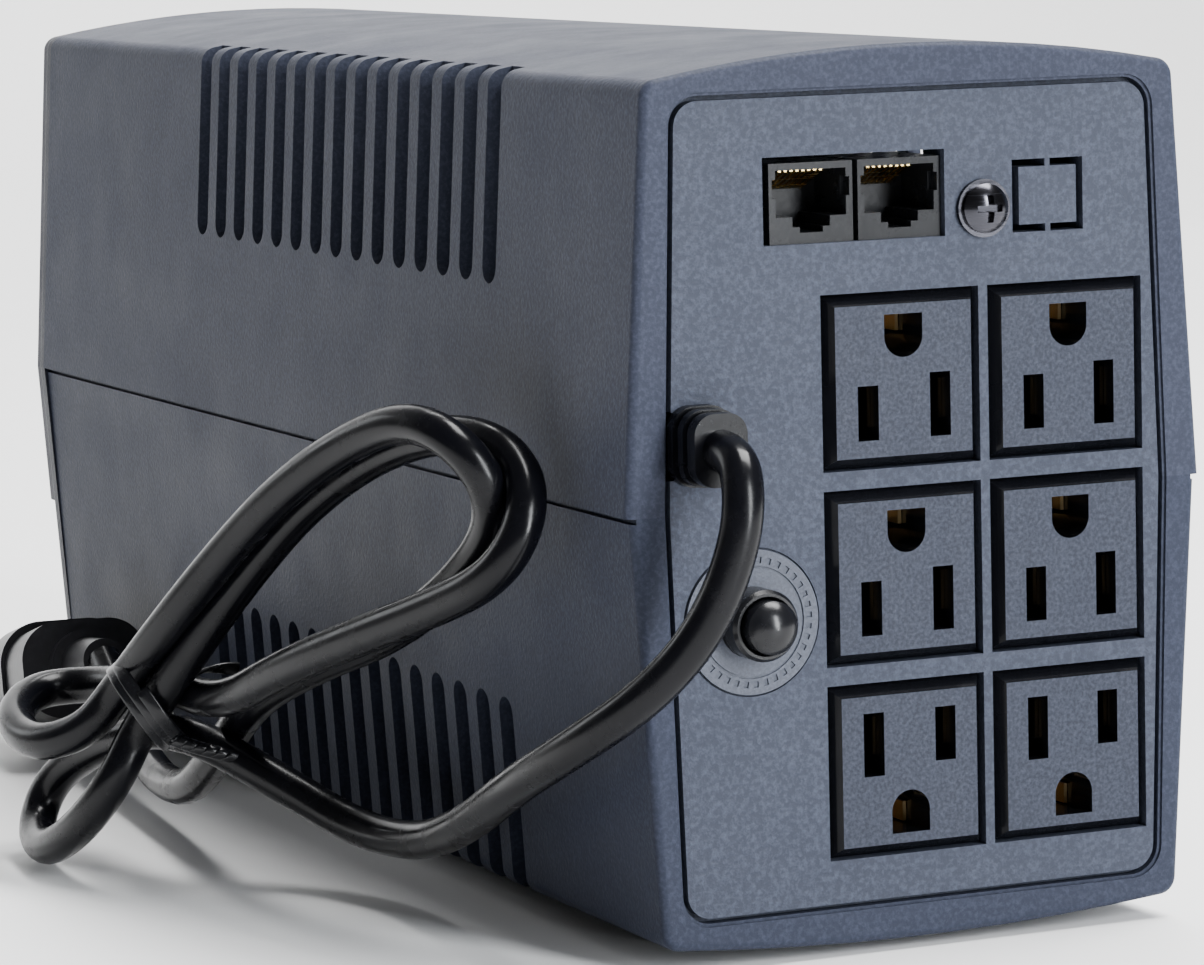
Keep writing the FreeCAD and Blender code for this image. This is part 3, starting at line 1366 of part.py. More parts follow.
def front_controls():
    z = floor + S.power_height
    board_y = (front + S.display_gap, front + S.display_gap + S.board_thickness)
    board = block("display_board_block", about(0.0, S.display_width), board_y, about(z + 4, S.display_tall))
    holes = [rod("display_screw_hole", S.small_screw_radius, (px, board_y[0] - 1, pz), "+Y", 4.0)
             for px, pz in display_post_places()]
    keep("display_board", cut("display_board_cut", board, *holes))
    screws = [pan_screw("display_screw", (px, board_y[1], pz), "-Y", S.small_head_radius,
                        S.small_head_height, S.small_screw_radius, S.small_screw_length)
              for px, pz in display_post_places()]

    r = S.power_radius
    cap_y = front - S.power_proud
    collar_front = S.power_skirt
    button = turned("power_turned", [
        (0, 0, 40.0),
        (r - 0.8, 0.7),
        (r, 1.6),
        (r, collar_front),
        (r + 1.6, collar_front),
        (r + 1.6, collar_front + 1.2),
        (2.4, collar_front + 1.2),
        (2.4, collar_front + 2.2),
        (0, collar_front + 2.2),
    ], (0, cap_y, z), "+Y")
    keep("power_button", button)
    collar_back = cap_y + collar_front + 1.2
    keep("power_button_spring", spring("power_spring_coil", S.power_spring_radius, S.spring_wire,
                                       S.power_spring_pitch, (0, collar_back, z), "+Y",
                                       board_y[0] - collar_back))
    switch = block("switch_body", about(0.0, 7.0), (board_y[0] - 2.2, board_y[0]), about(z, 7.0))
    plunger = rod("switch_plunger", 1.5, (0, board_y[0] - 3.0, z), "+Y", 1.0)
    keep("power_switch", fuse("switch_whole", switch, plunger))

    lens_y = (front - 0.3, front + 9)
    keep("indicator_lens", block("indicator_lens_block", about(0.0, S.lens_width), lens_y,
                                 about(floor + S.lens_height, S.lens_tall)))
    leds = []
    for i in (-1, 0, 1):
        at = (7.0 * i, board_y[0], floor + S.lens_height)
        leds.append(turned("led", [
            (0, 0),
            (S.led_radius + 0.3, 0),
            (S.led_radius + 0.3, 0.8),
            (S.led_radius, 0.8),
            (S.led_radius, 3.2, bow_radius(S.led_radius, 1.2)),
            (0, 4.4),
        ], at, "-Y"))
    keep("status_leds", group("led_group", leds))

    board_top = floor + S.board_height + S.board_thickness
    y0 = shell_front + S.board_front_gap
    ribbon_z = board_top + 6
    outline = [
        (board_y[1], ribbon_z),
        (y0 + 6, ribbon_z),
        (y0 + 6, board_top),
        (y0 + 6.8, board_top),
        (y0 + 6.8, ribbon_z + 0.8),
        (board_y[1], ribbon_z + 0.8),
    ]
    ribbon = padded("ribbon_outline", outline, (-7.0, 0, 0), SIDEWAYS, 14.0)
    keep("front_ribbon", ribbon)
    return screws


# ---------------------------------------------------------------- build everything

upper_cover()
lower_base()
feet()
case_screws()
front_bezel()
rear_panel()
for number, (x, z, turn) in enumerate(outlet_places(), start=1):
    outlet(number, x, z, turn)
outlet_contacts()
for number, x in enumerate(jack_places(), start=1):
    jack(number, x)
jack_contacts()
surge_board()
panel_screw()
breaker()
strain_relief()
cord_lead()
cord_hank()
cord_tie()
cord_tail()
plug()
battery()
inner_screws = transformer() + main_board()
inner_wiring()
inner_screws += front_controls()
keep("inner_screws", group("inner_screw_group", inner_screws))
doc.recompute()

faults = [o.Name for o in doc.Objects if "Invalid" in o.State or "Error" in o.State]
if faults:
    raise RuntimeError("these objects failed: %s" % faults)
os.makedirs("parts", exist_ok=True)
for piece in subparts:
    if piece.Shape.isNull() or not piece.Shape.isValid():
        raise RuntimeError("%s has no valid shape" % piece.Label)
    if piece.Shape.Volume <= 0 or not piece.Shape.Solids:
        raise RuntimeError("%s has no solid" % piece.Label)
    piece.Shape.exportStep(os.path.join("parts", piece.Label + ".step"))
print("%d sub-parts written" % len(subparts))
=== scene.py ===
"""Looks of the uninterruptible power supply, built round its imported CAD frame."""

import json
import math

import bpy
from mathutils import Matrix, Vector


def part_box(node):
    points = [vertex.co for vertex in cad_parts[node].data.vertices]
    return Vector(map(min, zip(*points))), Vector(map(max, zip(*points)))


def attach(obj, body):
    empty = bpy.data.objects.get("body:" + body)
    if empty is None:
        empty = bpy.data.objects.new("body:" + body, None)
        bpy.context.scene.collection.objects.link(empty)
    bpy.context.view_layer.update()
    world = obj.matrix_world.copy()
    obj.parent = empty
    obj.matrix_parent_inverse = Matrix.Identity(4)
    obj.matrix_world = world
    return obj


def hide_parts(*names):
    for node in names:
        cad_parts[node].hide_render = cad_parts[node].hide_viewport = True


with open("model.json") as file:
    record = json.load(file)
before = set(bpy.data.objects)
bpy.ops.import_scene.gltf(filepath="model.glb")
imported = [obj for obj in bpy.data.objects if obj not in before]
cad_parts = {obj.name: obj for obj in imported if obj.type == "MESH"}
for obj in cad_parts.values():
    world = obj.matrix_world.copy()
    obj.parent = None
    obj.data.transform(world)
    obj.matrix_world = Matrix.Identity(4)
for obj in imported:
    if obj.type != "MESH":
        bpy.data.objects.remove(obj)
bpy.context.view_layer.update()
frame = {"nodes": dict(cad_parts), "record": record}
nodes = frame["nodes"]

# ---------------------------------------------------------------- camera

CAMERA_PLACE = (0.3723, 0.8539, 0.1741)
AZIMUTH = math.radians(155.956)
ELEVATION = math.radians(7.007)
ROLL = math.radians(-1.363)
SENSOR_MM = 36.0
LENS_MM = 153.63
FAR_CLIP = 30.0


def add(name, data):
    """A new object in the scene, holding the given data."""
    thing = bpy.data.objects.new(name, data)
    bpy.context.scene.collection.objects.link(thing)
    return thing


lens = bpy.data.cameras.new("camera")
lens.sensor_width = SENSOR_MM
lens.lens = LENS_MM
lens.clip_end = FAR_CLIP
camera = add("camera", lens)
camera.matrix_world = (
    Matrix.Translation(CAMERA_PLACE)
    @ Matrix.Rotation(AZIMUTH, 4, "Z")
    @ Matrix.Rotation(math.pi / 2 - ELEVATION, 4, "X")
    @ Matrix.Rotation(ROLL, 4, "Z")
)
bpy.context.scene.camera = camera

# ---------------------------------------------------------------- the cord

CORD_DIAMETER = 0.0065

# The route, in metres: out of the strain relief, down the rear and along the side, then four turns
# through the tie (low loop, long loop, short loop, long loop) and away to the plug.
LEAD = [
    (0.0385, 0.15075, 0.0829), (0.0385, 0.1565, 0.0825), (0.0395, 0.1605, 0.0775),
    (0.0405, 0.1610, 0.0705), (0.0435, 0.1595, 0.0610), (0.0480, 0.1565, 0.0525),
    (0.0540, 0.1515, 0.0450), (0.0600, 0.1410, 0.0375), (0.0625, 0.1230, 0.0290),
    (0.0615, 0.1010, 0.0190), (0.0605, 0.0780, 0.0120), (0.0640, 0.0590, 0.0115),
    (0.0720, 0.0450, 0.0180),
]
LOW_LOOP = [
    (0.0860, 0.0280, 0.0275), (0.0925, 0.0045, 0.0200), (0.0970, -0.0060, 0.0130),
    (0.1010, -0.0040, 0.0050), (0.1035, 0.0100, 0.0036), (0.1020, 0.0240, 0.0095),
    (0.0980, 0.0330, 0.0190),
]
LONG_LOOP_1 = [
    (0.0930, 0.0315, 0.0275), (0.0868, 0.0425, 0.0420), (0.0795, 0.0510, 0.0555),
    (0.0740, 0.0645, 0.0680), (0.0682, 0.0810, 0.0775), (0.0632, 0.0975, 0.0825),
    (0.0586, 0.1105, 0.0820), (0.0572, 0.1195, 0.0765), (0.0600, 0.1235, 0.0690),
    (0.0640, 0.1200, 0.0615), (0.0685, 0.1060, 0.0555), (0.0745, 0.0880, 0.0490),
    (0.0800, 0.0690, 0.0420), (0.0835, 0.0460, 0.0325),
]
SHORT_LOOP = [
    (0.0865, 0.0255, 0.0345), (0.0845, 0.0030, 0.0305), (0.0890, -0.0100, 0.0290),
    (0.0985, -0.0110, 0.0285), (0.1055, -0.0010, 0.0255), (0.1060, 0.0135, 0.0230),
    (0.1000, 0.0245, 0.0265),
]
LONG_LOOP_2 = [
    (0.0945, 0.0270, 0.0340), (0.0910, 0.0420, 0.0465), (0.0850, 0.0565, 0.0605),
    (0.0805, 0.0710, 0.0715), (0.0753, 0.0870, 0.0805), (0.0710, 0.1020, 0.0855),
    (0.0675, 0.1135, 0.0835), (0.0625, 0.1170, 0.0760), (0.0600, 0.1110, 0.0670),
    (0.0630, 0.0990, 0.0565), (0.0680, 0.0830, 0.0475), (0.0730, 0.0655, 0.0415),
]
TAIL = [
    (0.0765, 0.0445, 0.0330), (0.0755, 0.0240, 0.0210), (0.0745, 0.0040, 0.0105),
    (0.0720, -0.0200, 0.0085), (0.0690, -0.0420, 0.0130), (0.0665, -0.0570, 0.0185),
    (0.0655, -0.0680, 0.0235),
]
ROUTE = LEAD + LOW_LOOP + LONG_LOOP_1 + SHORT_LOOP + LONG_LOOP_2 + TAIL


def smooth_line(name, points):
    """An open NURBS curve of order 3 that starts and ends on its first and last points."""
    curve = bpy.data.curves.new(name, "CURVE")
    curve.dimensions = "3D"
    spline = curve.splines.new("NURBS")
    spline.points.add(len(points) - 1)
    for place, point in zip(spline.points, points):
        place.co = (point[0], point[1], point[2], 1.0)
    spline.order_u = 3
    spline.use_endpoint_u = True
    spline.resolution_u = 10
    return add(name, curve)


cord = smooth_line("mains_cord", ROUTE)
cord.data.bevel_depth = CORD_DIAMETER / 2
cord.data.bevel_resolution = 7
cord.data.use_fill_caps = True
cord.data.twist_smooth = 4


# ---------------------------------------------------------------- the wire tie

# The middle of the tie, and the directions right, up and towards the eye as the camera sees it.
TIE = Vector((0.0900, 0.0280, 0.0310))
RIGHT = Vector((-0.912, 0.410, -0.024))
UPWARD = Vector((-0.071, -0.102, 0.992))
TOWARDS = Vector((0.404, 0.906, 0.122))

MM = 0.001
TIE_HALF_WIDTH = 0.0012
STRAND_HALF_WIDTH = 0.0009
TIE_HALF_THICK = 0.0004
SECTION_POINTS = 12
FLATNESS = 0.55
EDGE_ROUNDNESS = 0.8


def signed_power(value, exponent):
    """value to a power, with its sign kept."""
    return math.copysign(abs(value) ** exponent, value)


def smooth_mesh(name, verts, faces):
    """A new mesh object with smooth shading."""
    mesh = bpy.data.meshes.new(name)
    mesh.from_pydata([tuple(v) for v in verts], [], faces)
    for face in mesh.polygons:
        face.use_smooth = True
    return add(name, mesh)


def strip(name, path, half_width):
    """A flat band with a rounded section, swept along path.

    Each entry of path is a place and the direction of the band's width there.
    """
    section = []
    for i in range(SECTION_POINTS):
        a = 2 * math.pi * i / SECTION_POINTS
        across = signed_power(math.cos(a), FLATNESS) * half_width
        through = signed_power(math.sin(a), EDGE_ROUNDNESS) * TIE_HALF_THICK
        section.append((across, through))
    verts = []
    for i, (place, wide) in enumerate(path):
        ahead = path[min(i + 1, len(path) - 1)][0]
        behind = path[max(i - 1, 0)][0]
        along = (ahead - behind).normalized()
        wide = (wide - along * wide.dot(along)).normalized()
        thick = along.cross(wide).normalized()
        for u, v in section:
            verts.append(place + wide * u + thick * v)
    faces = []
    n = SECTION_POINTS
    for i in range(len(path) - 1):
        for j in range(n):
            k = (j + 1) % n
            faces.append((i * n + j, i * n + k, (i + 1) * n + k, (i + 1) * n + j))
    faces.append(tuple(range(n - 1, -1, -1)))
    faces.append(tuple((len(path) - 1) * n + j for j in range(n)))
    return smooth_mesh(name, verts, faces)


BAND_TURNS = 2.2
BAND_STEPS = 150
BAND_START = 0.5
BAND_SQUARENESS = 2.6
BAND_HALF_WIDE = 0.0084
BAND_HALF_TALL = 0.0118
BAND_LEAN_RIGHT = 0.83
BAND_LEAN_UP = 0.56
END_STEPS = 90


def rounded_oval(angle, half_wide, half_tall):
    """A point on a soft-cornered oval, for a band drawn tight round the strands."""
    c = math.cos(angle)
    s = math.sin(angle)
    wide = abs(c / half_wide) ** BAND_SQUARENESS
    tall = abs(s / half_tall) ** BAND_SQUARENESS
    reach = (wide + tall) ** (-1 / BAND_SQUARENESS)
    return c * reach, s * reach


def tie_band():
    """A flat wire tie, a little over two turns, drawn slantwise round the bundle.

    The second turn lies slightly outside the first one and beside it.
    """
    down = RIGHT * BAND_LEAN_UP - UPWARD * BAND_LEAN_RIGHT
    along = RIGHT * BAND_LEAN_RIGHT + UPWARD * BAND_LEAN_UP
    path = []
    for i in range(BAND_STEPS + 1):
        t = i / BAND_STEPS
        a = BAND_START + 2 * math.pi * BAND_TURNS * t
        u, v = rounded_oval(a, BAND_HALF_WIDE + 0.3 * MM * t, BAND_HALF_TALL + 0.4 * MM * t)
        slide = (-1.4 + 2.8 * t + 0.6 * math.sin(a + 1.0)) * MM
        path.append((TIE + down * u + TOWARDS * v + along * slide, along))
    return path


def twisted_end(points, turns, swing, radius):
    """One loose end of the tie, wound round a short bent line."""
    path = []
    for i in range(END_STEPS + 1):
        t = i / END_STEPS
        place = points[0].lerp(points[1], t).lerp(points[1].lerp(points[2], t), t)
        along = ((points[1] - points[0]).lerp(points[2] - points[1], t)).normalized()
        side = along.cross(Vector((0, 0, 1))).normalized()
        lift = side.cross(along).normalized()
        a = 2 * math.pi * turns * t + swing
        out = side * math.cos(a) + lift * math.sin(a)
        path.append((place + out * radius, out.cross(along)))
    return path


def near_tie(right, up, towards):
    """A place given in millimetres from the tie, as it is seen from the rear."""
    return TIE + (RIGHT * right + UPWARD * up + TOWARDS * towards) * MM


# Two ends are twisted together into a knot, and the third one lies flat.
KNOT_TURNS = 3.2
KNOT_RADIUS = 0.0008
knot = [near_tie(4.5, -5.6, 7.2), near_tie(9.5, -7.6, 7.6), near_tie(15.5, -8.8, 5.4)]
flat_end = [near_tie(5.5, 3.6, 7.2), near_tie(10.0, 6.6, 6.5), near_tie(16.0, 6.0, 5.0)]
tie = strip("wire_tie", tie_band(), TIE_HALF_WIDTH)
tie_ends = [
    strip("wire_tie_end_1", twisted_end(knot, KNOT_TURNS, 0.0, KNOT_RADIUS), STRAND_HALF_WIDTH),
    strip("wire_tie_end_2", twisted_end(knot, KNOT_TURNS, math.pi, KNOT_RADIUS), STRAND_HALF_WIDTH),
    strip("wire_tie_end_3", twisted_end(flat_end, 0.4, 0.6, 0.0002), TIE_HALF_WIDTH),
]

# ---------------------------------------------------------------- materials


class Look:
    """One node material.

    Its methods add texture nodes that run in the object's own metres, and return a node's output.
    """

    def __init__(self, name, roughness=0.5, metallic=0.0, specular=0.5, coat=0.0):
        self.material = bpy.data.materials.new(name)
        self.material.use_nodes = True
        self.tree = self.material.node_tree
        self.shader = self.tree.nodes["Principled BSDF"]
        self.shader.inputs["Roughness"].default_value = roughness
        self.shader.inputs["Metallic"].default_value = metallic
        self.shader.inputs["Specular IOR Level"].default_value = specular
        self.shader.inputs["Coat Weight"].default_value = coat
        self.shader.inputs["Coat Roughness"].default_value = 0.12
        self.places = self.tree.nodes.new("ShaderNodeTexCoord")
        self.last_bump = None

    def join(self, a, b):
        self.tree.links.new(a, b)

    def stretched(self, x, y, z):
        node = self.tree.nodes.new("ShaderNodeMapping")
        node.inputs["Scale"].default_value = (x, y, z)
        self.join(self.places.outputs["Object"], node.inputs["Vector"])
        return node.outputs["Vector"]

    def noise(self, scale, detail=3.0, rough=0.55, vector=None):
        node = self.tree.nodes.new("ShaderNodeTexNoise")
        node.inputs["Scale"].default_value = scale
        node.inputs["Detail"].default_value = detail
        node.inputs["Roughness"].default_value = rough
        self.join(vector or self.places.outputs["Object"], node.inputs["Vector"])
        return node.outputs["Fac"]

    def cells(self, scale):
        node = self.tree.nodes.new("ShaderNodeTexVoronoi")
        node.inputs["Scale"].default_value = scale
        self.join(self.places.outputs["Object"], node.inputs["Vector"])
        return node.outputs["Distance"]

    def waves(self, scale, axis, warp):
        node = self.tree.nodes.new("ShaderNodeTexWave")
        node.bands_direction = axis
        node.inputs["Scale"].default_value = scale
        node.inputs["Distortion"].default_value = warp
        self.join(self.places.outputs["Object"], node.inputs["Vector"])
        return node.outputs["Fac"]

    def ramp(self, value, *stops):
        """Colours by value. Each stop is a position and a colour."""
        node = self.tree.nodes.new("ShaderNodeValToRGB")
        line = node.color_ramp
        line.elements[0].position = stops[0][0]
        line.elements[0].color = (*stops[0][1], 1.0)
        line.elements[1].position = stops[-1][0]
        line.elements[1].color = (*stops[-1][1], 1.0)
        for place, colour in stops[1:-1]:
            line.elements.new(place).color = (*colour, 1.0)
        self.join(value, node.inputs["Fac"])
        return node.outputs["Color"]

    def spread(self, value, low, high, from_low=0.3, from_high=0.7):
        """value, stretched from one range to low..high and clamped there."""
        node = self.tree.nodes.new("ShaderNodeMapRange")
        node.inputs["From Min"].default_value = from_low
        node.inputs["From Max"].default_value = from_high
        node.inputs["To Min"].default_value = low
        node.inputs["To Max"].default_value = high
        self.join(value, node.inputs["Value"])
        return node.outputs["Result"]

    def maths(self, kind, a, b):
        node = self.tree.nodes.new("ShaderNodeMath")
        node.operation = kind
        for value, socket in ((a, node.inputs[0]), (b, node.inputs[1])):
            if isinstance(value, (int, float)):
                socket.default_value = value
            else:
                self.join(value, socket)
        return node.outputs["Value"]

    def mix(self, amount, a, b):
        node = self.tree.nodes.new("ShaderNodeMix")
        node.data_type = "RGBA"
        self.join(amount, node.inputs["Factor"])
        for value, socket in ((a, node.inputs["A"]), (b, node.inputs["B"])):
            if isinstance(value, tuple):
                socket.default_value = (*value, 1.0)
            else:
                self.join(value, socket)
        return node.outputs["Result"]

    def bump(self, height, distance, strength):
        """Relief from height, on top of the relief that is already there."""
        node = self.tree.nodes.new("ShaderNodeBump")
        node.inputs["Distance"].default_value = distance
        node.inputs["Strength"].default_value = strength
        self.join(height, node.inputs["Height"])
        if self.last_bump is not None:
            self.join(self.last_bump, node.inputs["Normal"])
        self.last_bump = node.outputs["Normal"]
        self.join(self.last_bump, self.shader.inputs["Normal"])

    def colour(self, value):
        self.join(value, self.shader.inputs["Base Color"])

    def rough(self, value):
        self.join(value, self.shader.inputs["Roughness"])

    def along(self, source, axis):
        """One component of the place ("Object") or of the surface's direction ("Normal")."""
        node = self.tree.nodes.new("ShaderNodeSeparateXYZ")
        self.join(self.places.outputs[source], node.inputs["Vector"])
        return node.outputs[axis]


def tint(colour, by):
    """A colour made lighter or darker."""
    return tuple(min(1.0, c * by) for c in colour)


def textured(
    name, colour, rough=0.48, grain=1500.0, depth=0.00010, speckle=0.25, haze=0.06, shine=0.4
):
    """Moulded plastic with a fine spark-eroded grain, slight blotches and a little dust."""
    look = Look(name, roughness=rough, specular=shine)
    broad = look.noise(9.0, 2.0, 0.5)
    fine = look.noise(grain, 2.0, 0.6)
    base = look.ramp(broad, (0.30, tint(colour, 1 - haze)), (0.70, tint(colour, 1 + haze)))
    less = tint(colour, 1 + speckle * 1.5)
    more = tint(colour, 1 + speckle * 2.2)
    pale = look.ramp(broad, (0.30, less), (0.70, more))
    look.colour(look.mix(look.spread(fine, 0.0, 1.0, 0.42, 0.72), base, pale))
    look.rough(look.spread(look.noise(60.0, 5.0, 0.6), rough - 0.04, rough + 0.06))
    look.bump(look.cells(grain * 0.8), depth * 0.6, 0.5)
    look.bump(fine, depth, 0.8)
    return look.material


DUST = (0.35, 0.36, 0.38)


def glossy(name, colour, rough=0.18, ripple=0.00006, dust=0.05, shine=0.5):
    """Smooth moulded plastic or PVC with flow ripples, handling marks and a trace of dust."""
    look = Look(name, roughness=rough, specular=shine)
    broad = look.noise(45.0, 5.0, 0.62)
    base = look.ramp(broad, (0.30, tint(colour, 0.85)), (0.72, tint(colour, 1.25)))
    specks = look.spread(look.noise(900.0, 4.0, 0.7), 0.0, dust, 0.60, 0.80)
    look.colour(look.mix(specks, base, DUST))
    look.rough(look.spread(look.noise(160.0, 6.0, 0.65), rough - 0.05, rough + 0.09))
    look.bump(look.noise(70.0, 3.0), ripple * 3.0, 0.3)
    look.bump(look.noise(1100.0, 2.0), ripple * 0.5, 0.5)
    return look.material


def metal(name, colour, rough):
    """Plated or sheet metal with fine drawn lines and faint staining."""
    depth = 0.00002
    look = Look(name, roughness=rough, metallic=1.0)
    lines = look.noise(1.0, 3.0, 0.6, vector=look.stretched(60.0, 60.0, 2500.0))
    stain = look.noise(120.0, 5.0, 0.6)
    dull = tint(colour, 0.78)
    bright = tint(colour, 1.12)
    look.colour(look.ramp(stain, (0.30, dull), (0.62, colour), (0.80, bright)))
    look.rough(look.spread(lines, rough - 0.07, rough + 0.12))
    look.bump(lines, depth, 0.6)
    look.bump(look.noise(300.0, 3.0), depth * 2, 0.3)
    return look.material


def circuit_board(name, colour):
    """Green solder mask over fine tracks, with a faint weave."""
    look = Look(name, roughness=0.35, coat=0.3)
    tracks = look.spread(look.waves(110.0, "X", 6.0), 0.0, 1.0, 0.55, 0.62)
    across = look.spread(look.waves(90.0, "Y", 7.0), 0.0, 1.0, 0.62, 0.70)
    both = look.maths("MAXIMUM", tracks, across)
    look.colour(look.mix(both, tint(colour, 0.7), tint(colour, 1.5)))
    look.rough(look.spread(look.noise(500.0), 0.28, 0.45))
    look.bump(both, 0.00005, 0.6)
    look.bump(look.noise(1800.0), 0.00001, 0.5)
    return look.material


def winding(name, colour):
    """Enamelled wire laid in close turns, with painted shade between the turns and a painted
    highlight on each crest.
    """
    look = Look(name, roughness=0.3, metallic=0.85)
    turns = look.waves(260.0, "Z", 0.4)
    # Painted shade: the wire is darkened to a quarter between turns; painted highlight: lighter on
    # each crest.
    painted_shade_between_turns = tint(colour, 0.25)
    painted_highlight_crest = tint(colour, 1.3)
    look.colour(look.ramp(turns, (0.0, painted_shade_between_turns), (0.4, colour), (1.0, painted_highlight_crest)))
    look.rough(look.spread(look.noise(200.0), 0.22, 0.42))
    look.bump(turns, 0.0003, 0.9)
    return look.material


VARNISH = (0.09, 0.06, 0.04)


def laminated(name, colour):
    """A stack of thin steel sheets seen on edge, with a little varnish."""
    look = Look(name, roughness=0.42, metallic=0.7)
    sheets = look.waves(320.0, "Y", 0.3)
    stain = look.noise(90.0, 5.0, 0.65)
    amount = look.spread(stain, 0.0, 0.6)
    steel = look.ramp(sheets, (0.0, tint(colour, 0.5)), (1.0, colour))
    look.colour(look.mix(amount, steel, VARNISH))
    look.rough(look.spread(stain, 0.32, 0.6))
    look.bump(sheets, 0.0001, 0.8)
    return look.material


def lamp_lens(name, colour):
    """Tinted clear plastic with a moulded cell pattern behind it."""
    look = Look(name, roughness=0.12, coat=0.5)
    look.shader.inputs["Transmission Weight"].default_value = 0.35
    cell = look.cells(1400.0)
    look.colour(look.ramp(cell, (0.0, tint(colour, 0.6)), (0.6, colour), (1.0, tint(colour, 1.4))))
    look.rough(look.spread(look.noise(400.0), 0.08, 0.2))
    look.bump(cell, 0.00008, 0.5)
    return look.material


OUTLETS = ["outlet_1", "outlet_2", "outlet_3", "outlet_4", "outlet_5", "outlet_6"]


def outlet_plastic(name):
    """Outlet block: grained slate face, glossy black bevels and holes."""
    look = Look(name, roughness=0.3, specular=0.16)
    rearmost = max(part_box(outlet)[1].y for outlet in OUTLETS)
    face = look.spread(look.along("Normal", "Y"), 0.0, 1.0, 0.90, 0.97)
    outer = look.spread(look.along("Object", "Y"), 0.0, 1.0, rearmost - 0.0006, rearmost - 0.0003)
    flat = look.maths("MULTIPLY", face, outer)
    fine = look.noise(1700.0, 2.0, 0.6)
    broad = look.noise(30.0, 4.0, 0.6)
    slate = look.ramp(fine, (0.38, (0.015, 0.018, 0.029)), (0.75, (0.036, 0.043, 0.064)))
    black = look.ramp(broad, (0.30, (0.0024, 0.0026, 0.0036)), (0.72, (0.0050, 0.0054, 0.0070)))
    look.colour(look.mix(flat, black, slate))
    dull_face = look.spread(flat, 0.14, 0.42, 0.0, 1.0)
    uneven = look.spread(look.noise(140.0, 5.0, 0.6), -0.04, 0.07)
    look.rough(look.maths("ADD", dull_face, uneven))
    look.bump(look.noise(40.0, 2.0), 0.0002, 0.3)
    look.bump(look.maths("MULTIPLY", fine, flat), 0.00010, 0.8)
    return look.material


# One look for each material slot of the record.
LOOKS = {
    "case_upper": textured("case_upper_look", (0.029, 0.033, 0.049), rough=0.44, shine=0.05),
    # The lower base is painted darker than the upper cover: painted shade for the lower part of the
    # side.
    "case_lower": textured("case_lower_painted_shade_look", (0.025, 0.029, 0.044), rough=0.44, shine=0.05),
    "bezel": textured("bezel_look", (0.020, 0.022, 0.031), rough=0.42, shine=0.12),
    "panel": textured(
        "panel_look", (0.033, 0.038, 0.054), rough=0.46,
        grain=1350.0, depth=0.00016, speckle=0.30, haze=0.03, shine=0.10,
    ),
    "outlet": outlet_plastic("outlet_look"),
    "jack": glossy("jack_look", (0.007, 0.0075, 0.009), rough=0.26, shine=0.16),
    "black_plastic": glossy("black_plastic_look", (0.0045, 0.0047, 0.0060), rough=0.24, shine=0.3),
    "dial": textured(
        "dial_look", (0.050, 0.056, 0.074), rough=0.38, grain=1900.0, depth=0.00006, shine=0.2,
    ),
    "cord": glossy(
        "cord_look", (0.0020, 0.0021, 0.0032), rough=0.23, ripple=0.00004, dust=0.02, shine=0.18,
    ),
    "foot": textured("foot_look", (0.012, 0.012, 0.013), rough=0.75, grain=900.0),
    "dark_nickel": metal("dark_nickel_look", (0.060, 0.060, 0.070), rough=0.20),
    "steel": metal("steel_look", (0.55, 0.56, 0.58), rough=0.3),
    "brass": metal("brass_look", (0.36, 0.26, 0.13), rough=0.36),
    "gold_wire": metal("gold_wire_look", (0.85, 0.62, 0.25), rough=0.2),
    "core_steel": laminated("core_steel_look", (0.28, 0.28, 0.29)),
    "winding": winding("winding_look", (0.62, 0.26, 0.10)),
    "board": circuit_board("board_look", (0.015, 0.11, 0.045)),
    "heat_sink": metal("heat_sink_look", (0.62, 0.63, 0.65), rough=0.34),
    "component": glossy("component_look", (0.018, 0.018, 0.020), rough=0.36),
    "relay": glossy("relay_look", (0.05, 0.11, 0.20), rough=0.3),
    "battery": textured("battery_look", (0.030, 0.031, 0.034), rough=0.42, grain=900.0),
    "red_wire": glossy("red_wire_look", (0.42, 0.02, 0.015), rough=0.3),
    "black_wire": glossy("black_wire_look", (0.012, 0.012, 0.013), rough=0.3),
    "ribbon": glossy("ribbon_look", (0.30, 0.30, 0.31), rough=0.4),
    "lens": lamp_lens("lens_look", (0.30, 0.42, 0.30)),
    "led": lamp_lens("led_look", (0.10, 0.55, 0.14)),
}

for part in frame["record"]["subparts"]:
    thing = nodes[part["node"]]
    thing.data.materials.clear()
    thing.data.materials.append(LOOKS[part["material_slot"]])

plug_look = textured(
    "plug_look", (0.012, 0.012, 0.014), rough=0.36, grain=700.0, depth=0.00004, shine=0.45,
)
nodes["plug_body"].data.materials[0] = plug_look
cord.data.materials.append(LOOKS["cord"])
for thing in [tie] + tie_ends:
    thing.data.materials.append(LOOKS["black_plastic"])

# ---------------------------------------------------------------- floor and light

WHITE = (1.0, 1.0, 1.0)
COOL = (0.94, 0.97, 1.0)

FLOOR_FRONT = 3.0
FLOOR_BACK = -1.2
FLOOR_HALF_WIDTH = 4.0
CURVE_RADIUS = 1.0
CURVE_STEPS = 12
BACKDROP_TOP = 4.0


def floor_plastic():
    """Pale matt floor with slow, faint changes of tone."""
    look = Look("floor_look", roughness=0.55)
    tone = look.noise(3.0, 4.0)
    look.colour(look.ramp(tone, (0.3, (0.86, 0.86, 0.86)), (0.7, (0.90, 0.90, 0.90))))
    look.rough(look.spread(look.noise(8.0), 0.5, 0.62))
    look.bump(look.noise(400.0), 0.00002, 0.3)
    return look.material


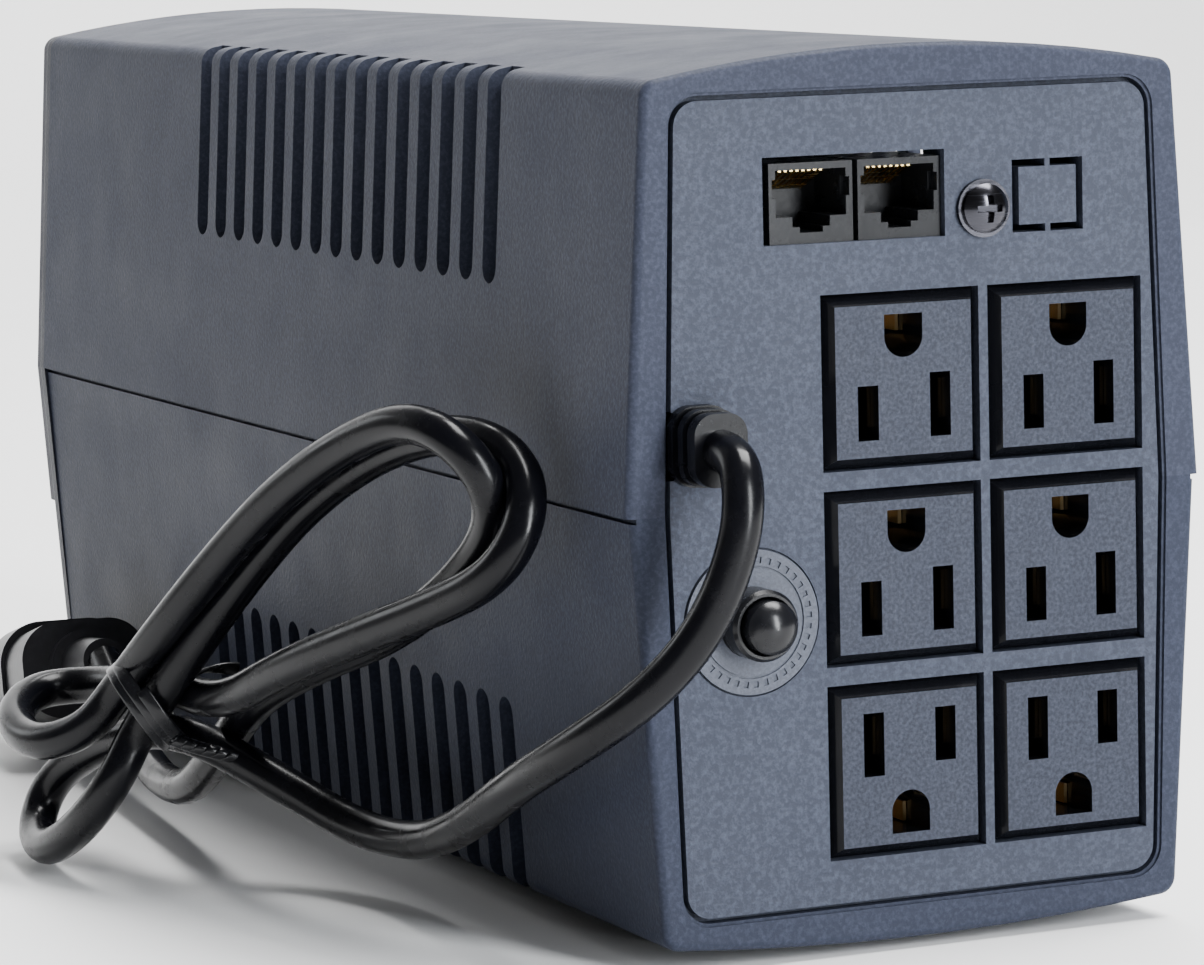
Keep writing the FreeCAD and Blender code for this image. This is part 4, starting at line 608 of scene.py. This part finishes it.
def sweep():
    """A pale floor that curves up behind the object, seen from the rear."""
    rows = [(FLOOR_FRONT, 0.0), (FLOOR_BACK, 0.0)]
    for i in range(1, CURVE_STEPS + 1):
        a = math.radians(90 * i / CURVE_STEPS)
        y = FLOOR_BACK - CURVE_RADIUS * math.sin(a)
        rows.append((y, CURVE_RADIUS - CURVE_RADIUS * math.cos(a)))
    rows.append((FLOOR_BACK - CURVE_RADIUS, BACKDROP_TOP))
    verts = []
    for y, z in rows:
        verts.append((-FLOOR_HALF_WIDTH, y, z))
        verts.append((FLOOR_HALF_WIDTH, y, z))
    faces = [(2 * i, 2 * i + 1, 2 * i + 3, 2 * i + 2) for i in range(len(rows) - 1)]
    floor = smooth_mesh("studio_floor", verts, faces)
    floor.data.materials.append(floor_plastic())
    return floor


sweep()


def softbox(name, place, target, wide, tall, power, colour=WHITE):
    """A rectangular lamp at place, turned towards target, in metres and watts."""
    data = bpy.data.lights.new(name, "AREA")
    data.shape = "RECTANGLE"
    data.size = wide
    data.size_y = tall
    data.energy = power
    data.color = colour
    lamp = add(name, data)
    lamp.location = place
    lamp.rotation_euler = (Vector(target) - Vector(place)).to_track_quat("-Z", "Y").to_euler()


softbox("top_light", (-0.55, 0.1, 1.6), (-0.1, 0.0, 0.0), 1.0, 1.0, 84.0)
softbox("key_light", (-0.42, 1.5, 0.55), (0.0, 0.1, 0.08), 0.3, 1.1, 46.0, COOL)
softbox("far_light", (1.1, -1.5, 0.7), (0.0, -0.1, 0.05), 0.5, 0.5, 3.0, COOL)
softbox("backdrop_light", (-0.5, -1.2, 1.9), (-0.9, -2.2, 0.5), 0.8, 0.4, 45.0)

SKY_STRENGTH = 0.14
world = bpy.data.worlds.new("studio")
world.use_nodes = True
sky = world.node_tree.nodes["Background"]
sky.inputs["Color"].default_value = (*WHITE, 1.0)
sky.inputs["Strength"].default_value = SKY_STRENGTH
bpy.context.scene.world = world

# ---------------------------------------------------------------- who rides on what

for thing in [cord, tie] + tie_ends:
    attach(thing, "body")
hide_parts("cord_lead", "cord_hank", "cord_tail")
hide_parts("cord_tie")
